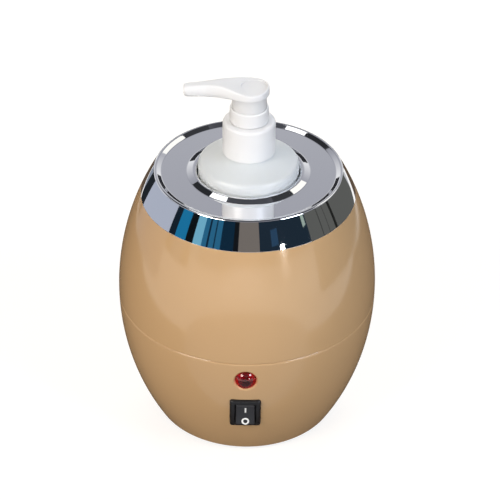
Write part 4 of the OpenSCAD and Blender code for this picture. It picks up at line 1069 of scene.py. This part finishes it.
# rocker: two flats in a shallow V, ends round about the pivot
def makeRocker():
    half = math.radians(switch["throw"] / 2)
    radius = switch["rockerRadius"]
    top = (switch["thick"] - switch["pivot"]) / math.cos(half)
    slope = math.tan(half)
    end = (-top * slope + math.sqrt(radius ** 2 * (1 + slope ** 2) - top ** 2)) / (1 + slope ** 2)
    high = math.atan2(top + end * slope, end)
    low = math.asin(-switch["below"] / radius)
    steps = switch["arcSteps"]
    arc = [high + (low - high) * i / steps for i in range(steps + 1)]
    right = [(radius * math.cos(a), radius * math.sin(a)) for a in arc]
    profile = [(0, top)] + right + [(-u, v) for u, v in reversed(right)]
    width = switch["rocker"]
    bm = bmesh.new()
    side = bm.faces.new([bm.verts.new(Vector((-width / 2, u, v)) * mm) for u, v in profile])
    grown = bmesh.ops.extrude_face_region(bm, geom=[side])
    far = [v for v in grown["geom"] if isinstance(v, bmesh.types.BMVert)]
    bmesh.ops.translate(bm, vec=(width * mm, 0, 0), verts=far)
    bmesh.ops.recalc_face_normals(bm, faces=bm.faces)
    sharp = math.radians(switch["edgeAngle"])
    corners = [e for e in bm.edges if len(e.link_faces) == 2 and e.calc_face_angle() > sharp]
    bmesh.ops.bevel(bm, geom=corners, offset=switch["rockerEdge"] * mm, offset_type="OFFSET",
                    affect="EDGES", segments=switch["rockerEdgeSteps"], profile=0.5, material=-1)
    printMarks(bm, top, half)
    pivot = Matrix.Translation((0, 0, (switch["pivot"] - switch["seat"]) * mm))
    tilted = onSide(switch["height"]) @ pivot @ Matrix.Rotation(-half, 4, "X")
    piece = makePiece("rocker", moved(bm, tilted), "satinPolyamide", sharpAngle=35)
    piece.data.materials.append(materials["printWhite"])
    weighNormals(piece)
    standsFor(piece, "rocker", "switch_rocker")


makeBezel()
makeRocker()
print("switch modelled")


# lamp lens: hollow dome with a rounded foot and a flange behind the wall
def makeLens():
    radius = lamp["lens"]
    wall = lamp["lensWall"]
    dome = lamp["dome"]
    base = -lamp["base"]
    back = -lamp["back"]
    ball = (radius ** 2 + dome ** 2) / (2 * dome)
    spread = math.asin(radius / ball)
    steps = lamp["domeSteps"]
    turns = [spread * (1 - i / steps) for i in range(steps + 1)]
    cap = [(ball * math.sin(a), base + dome - ball * (1 - math.cos(a)), 0) for a in turns]
    flange = radius + lamp["flange"]
    flangeTop = back + lamp["flangeThick"]
    outside = [(flange, back, 0),
               (flange, flangeTop, lamp["flangeRound"]),
               (radius, flangeTop, 0),
               (radius, base, lamp["footRound"])] + cap[1:]
    inside = [(r * (radius - wall) / radius, z - wall, 0) for r, z, rounding in reversed(cap)]
    inside += [(radius - wall, back, 0), (flange, back, 0)]
    bm = turned(outside + inside, steps=96, closed=False)
    lens = moved(bm, onSide(lamp["height"]))
    piece = makePiece("lampLens", lens, "redPolycarbonate", sharpAngle=30)
    piece.visible_shadow = False        # clear plastic lets the lamps' light through to the brim
    standsFor(piece, "base", "lamp_lens")


makeLens()
print("lens turned")
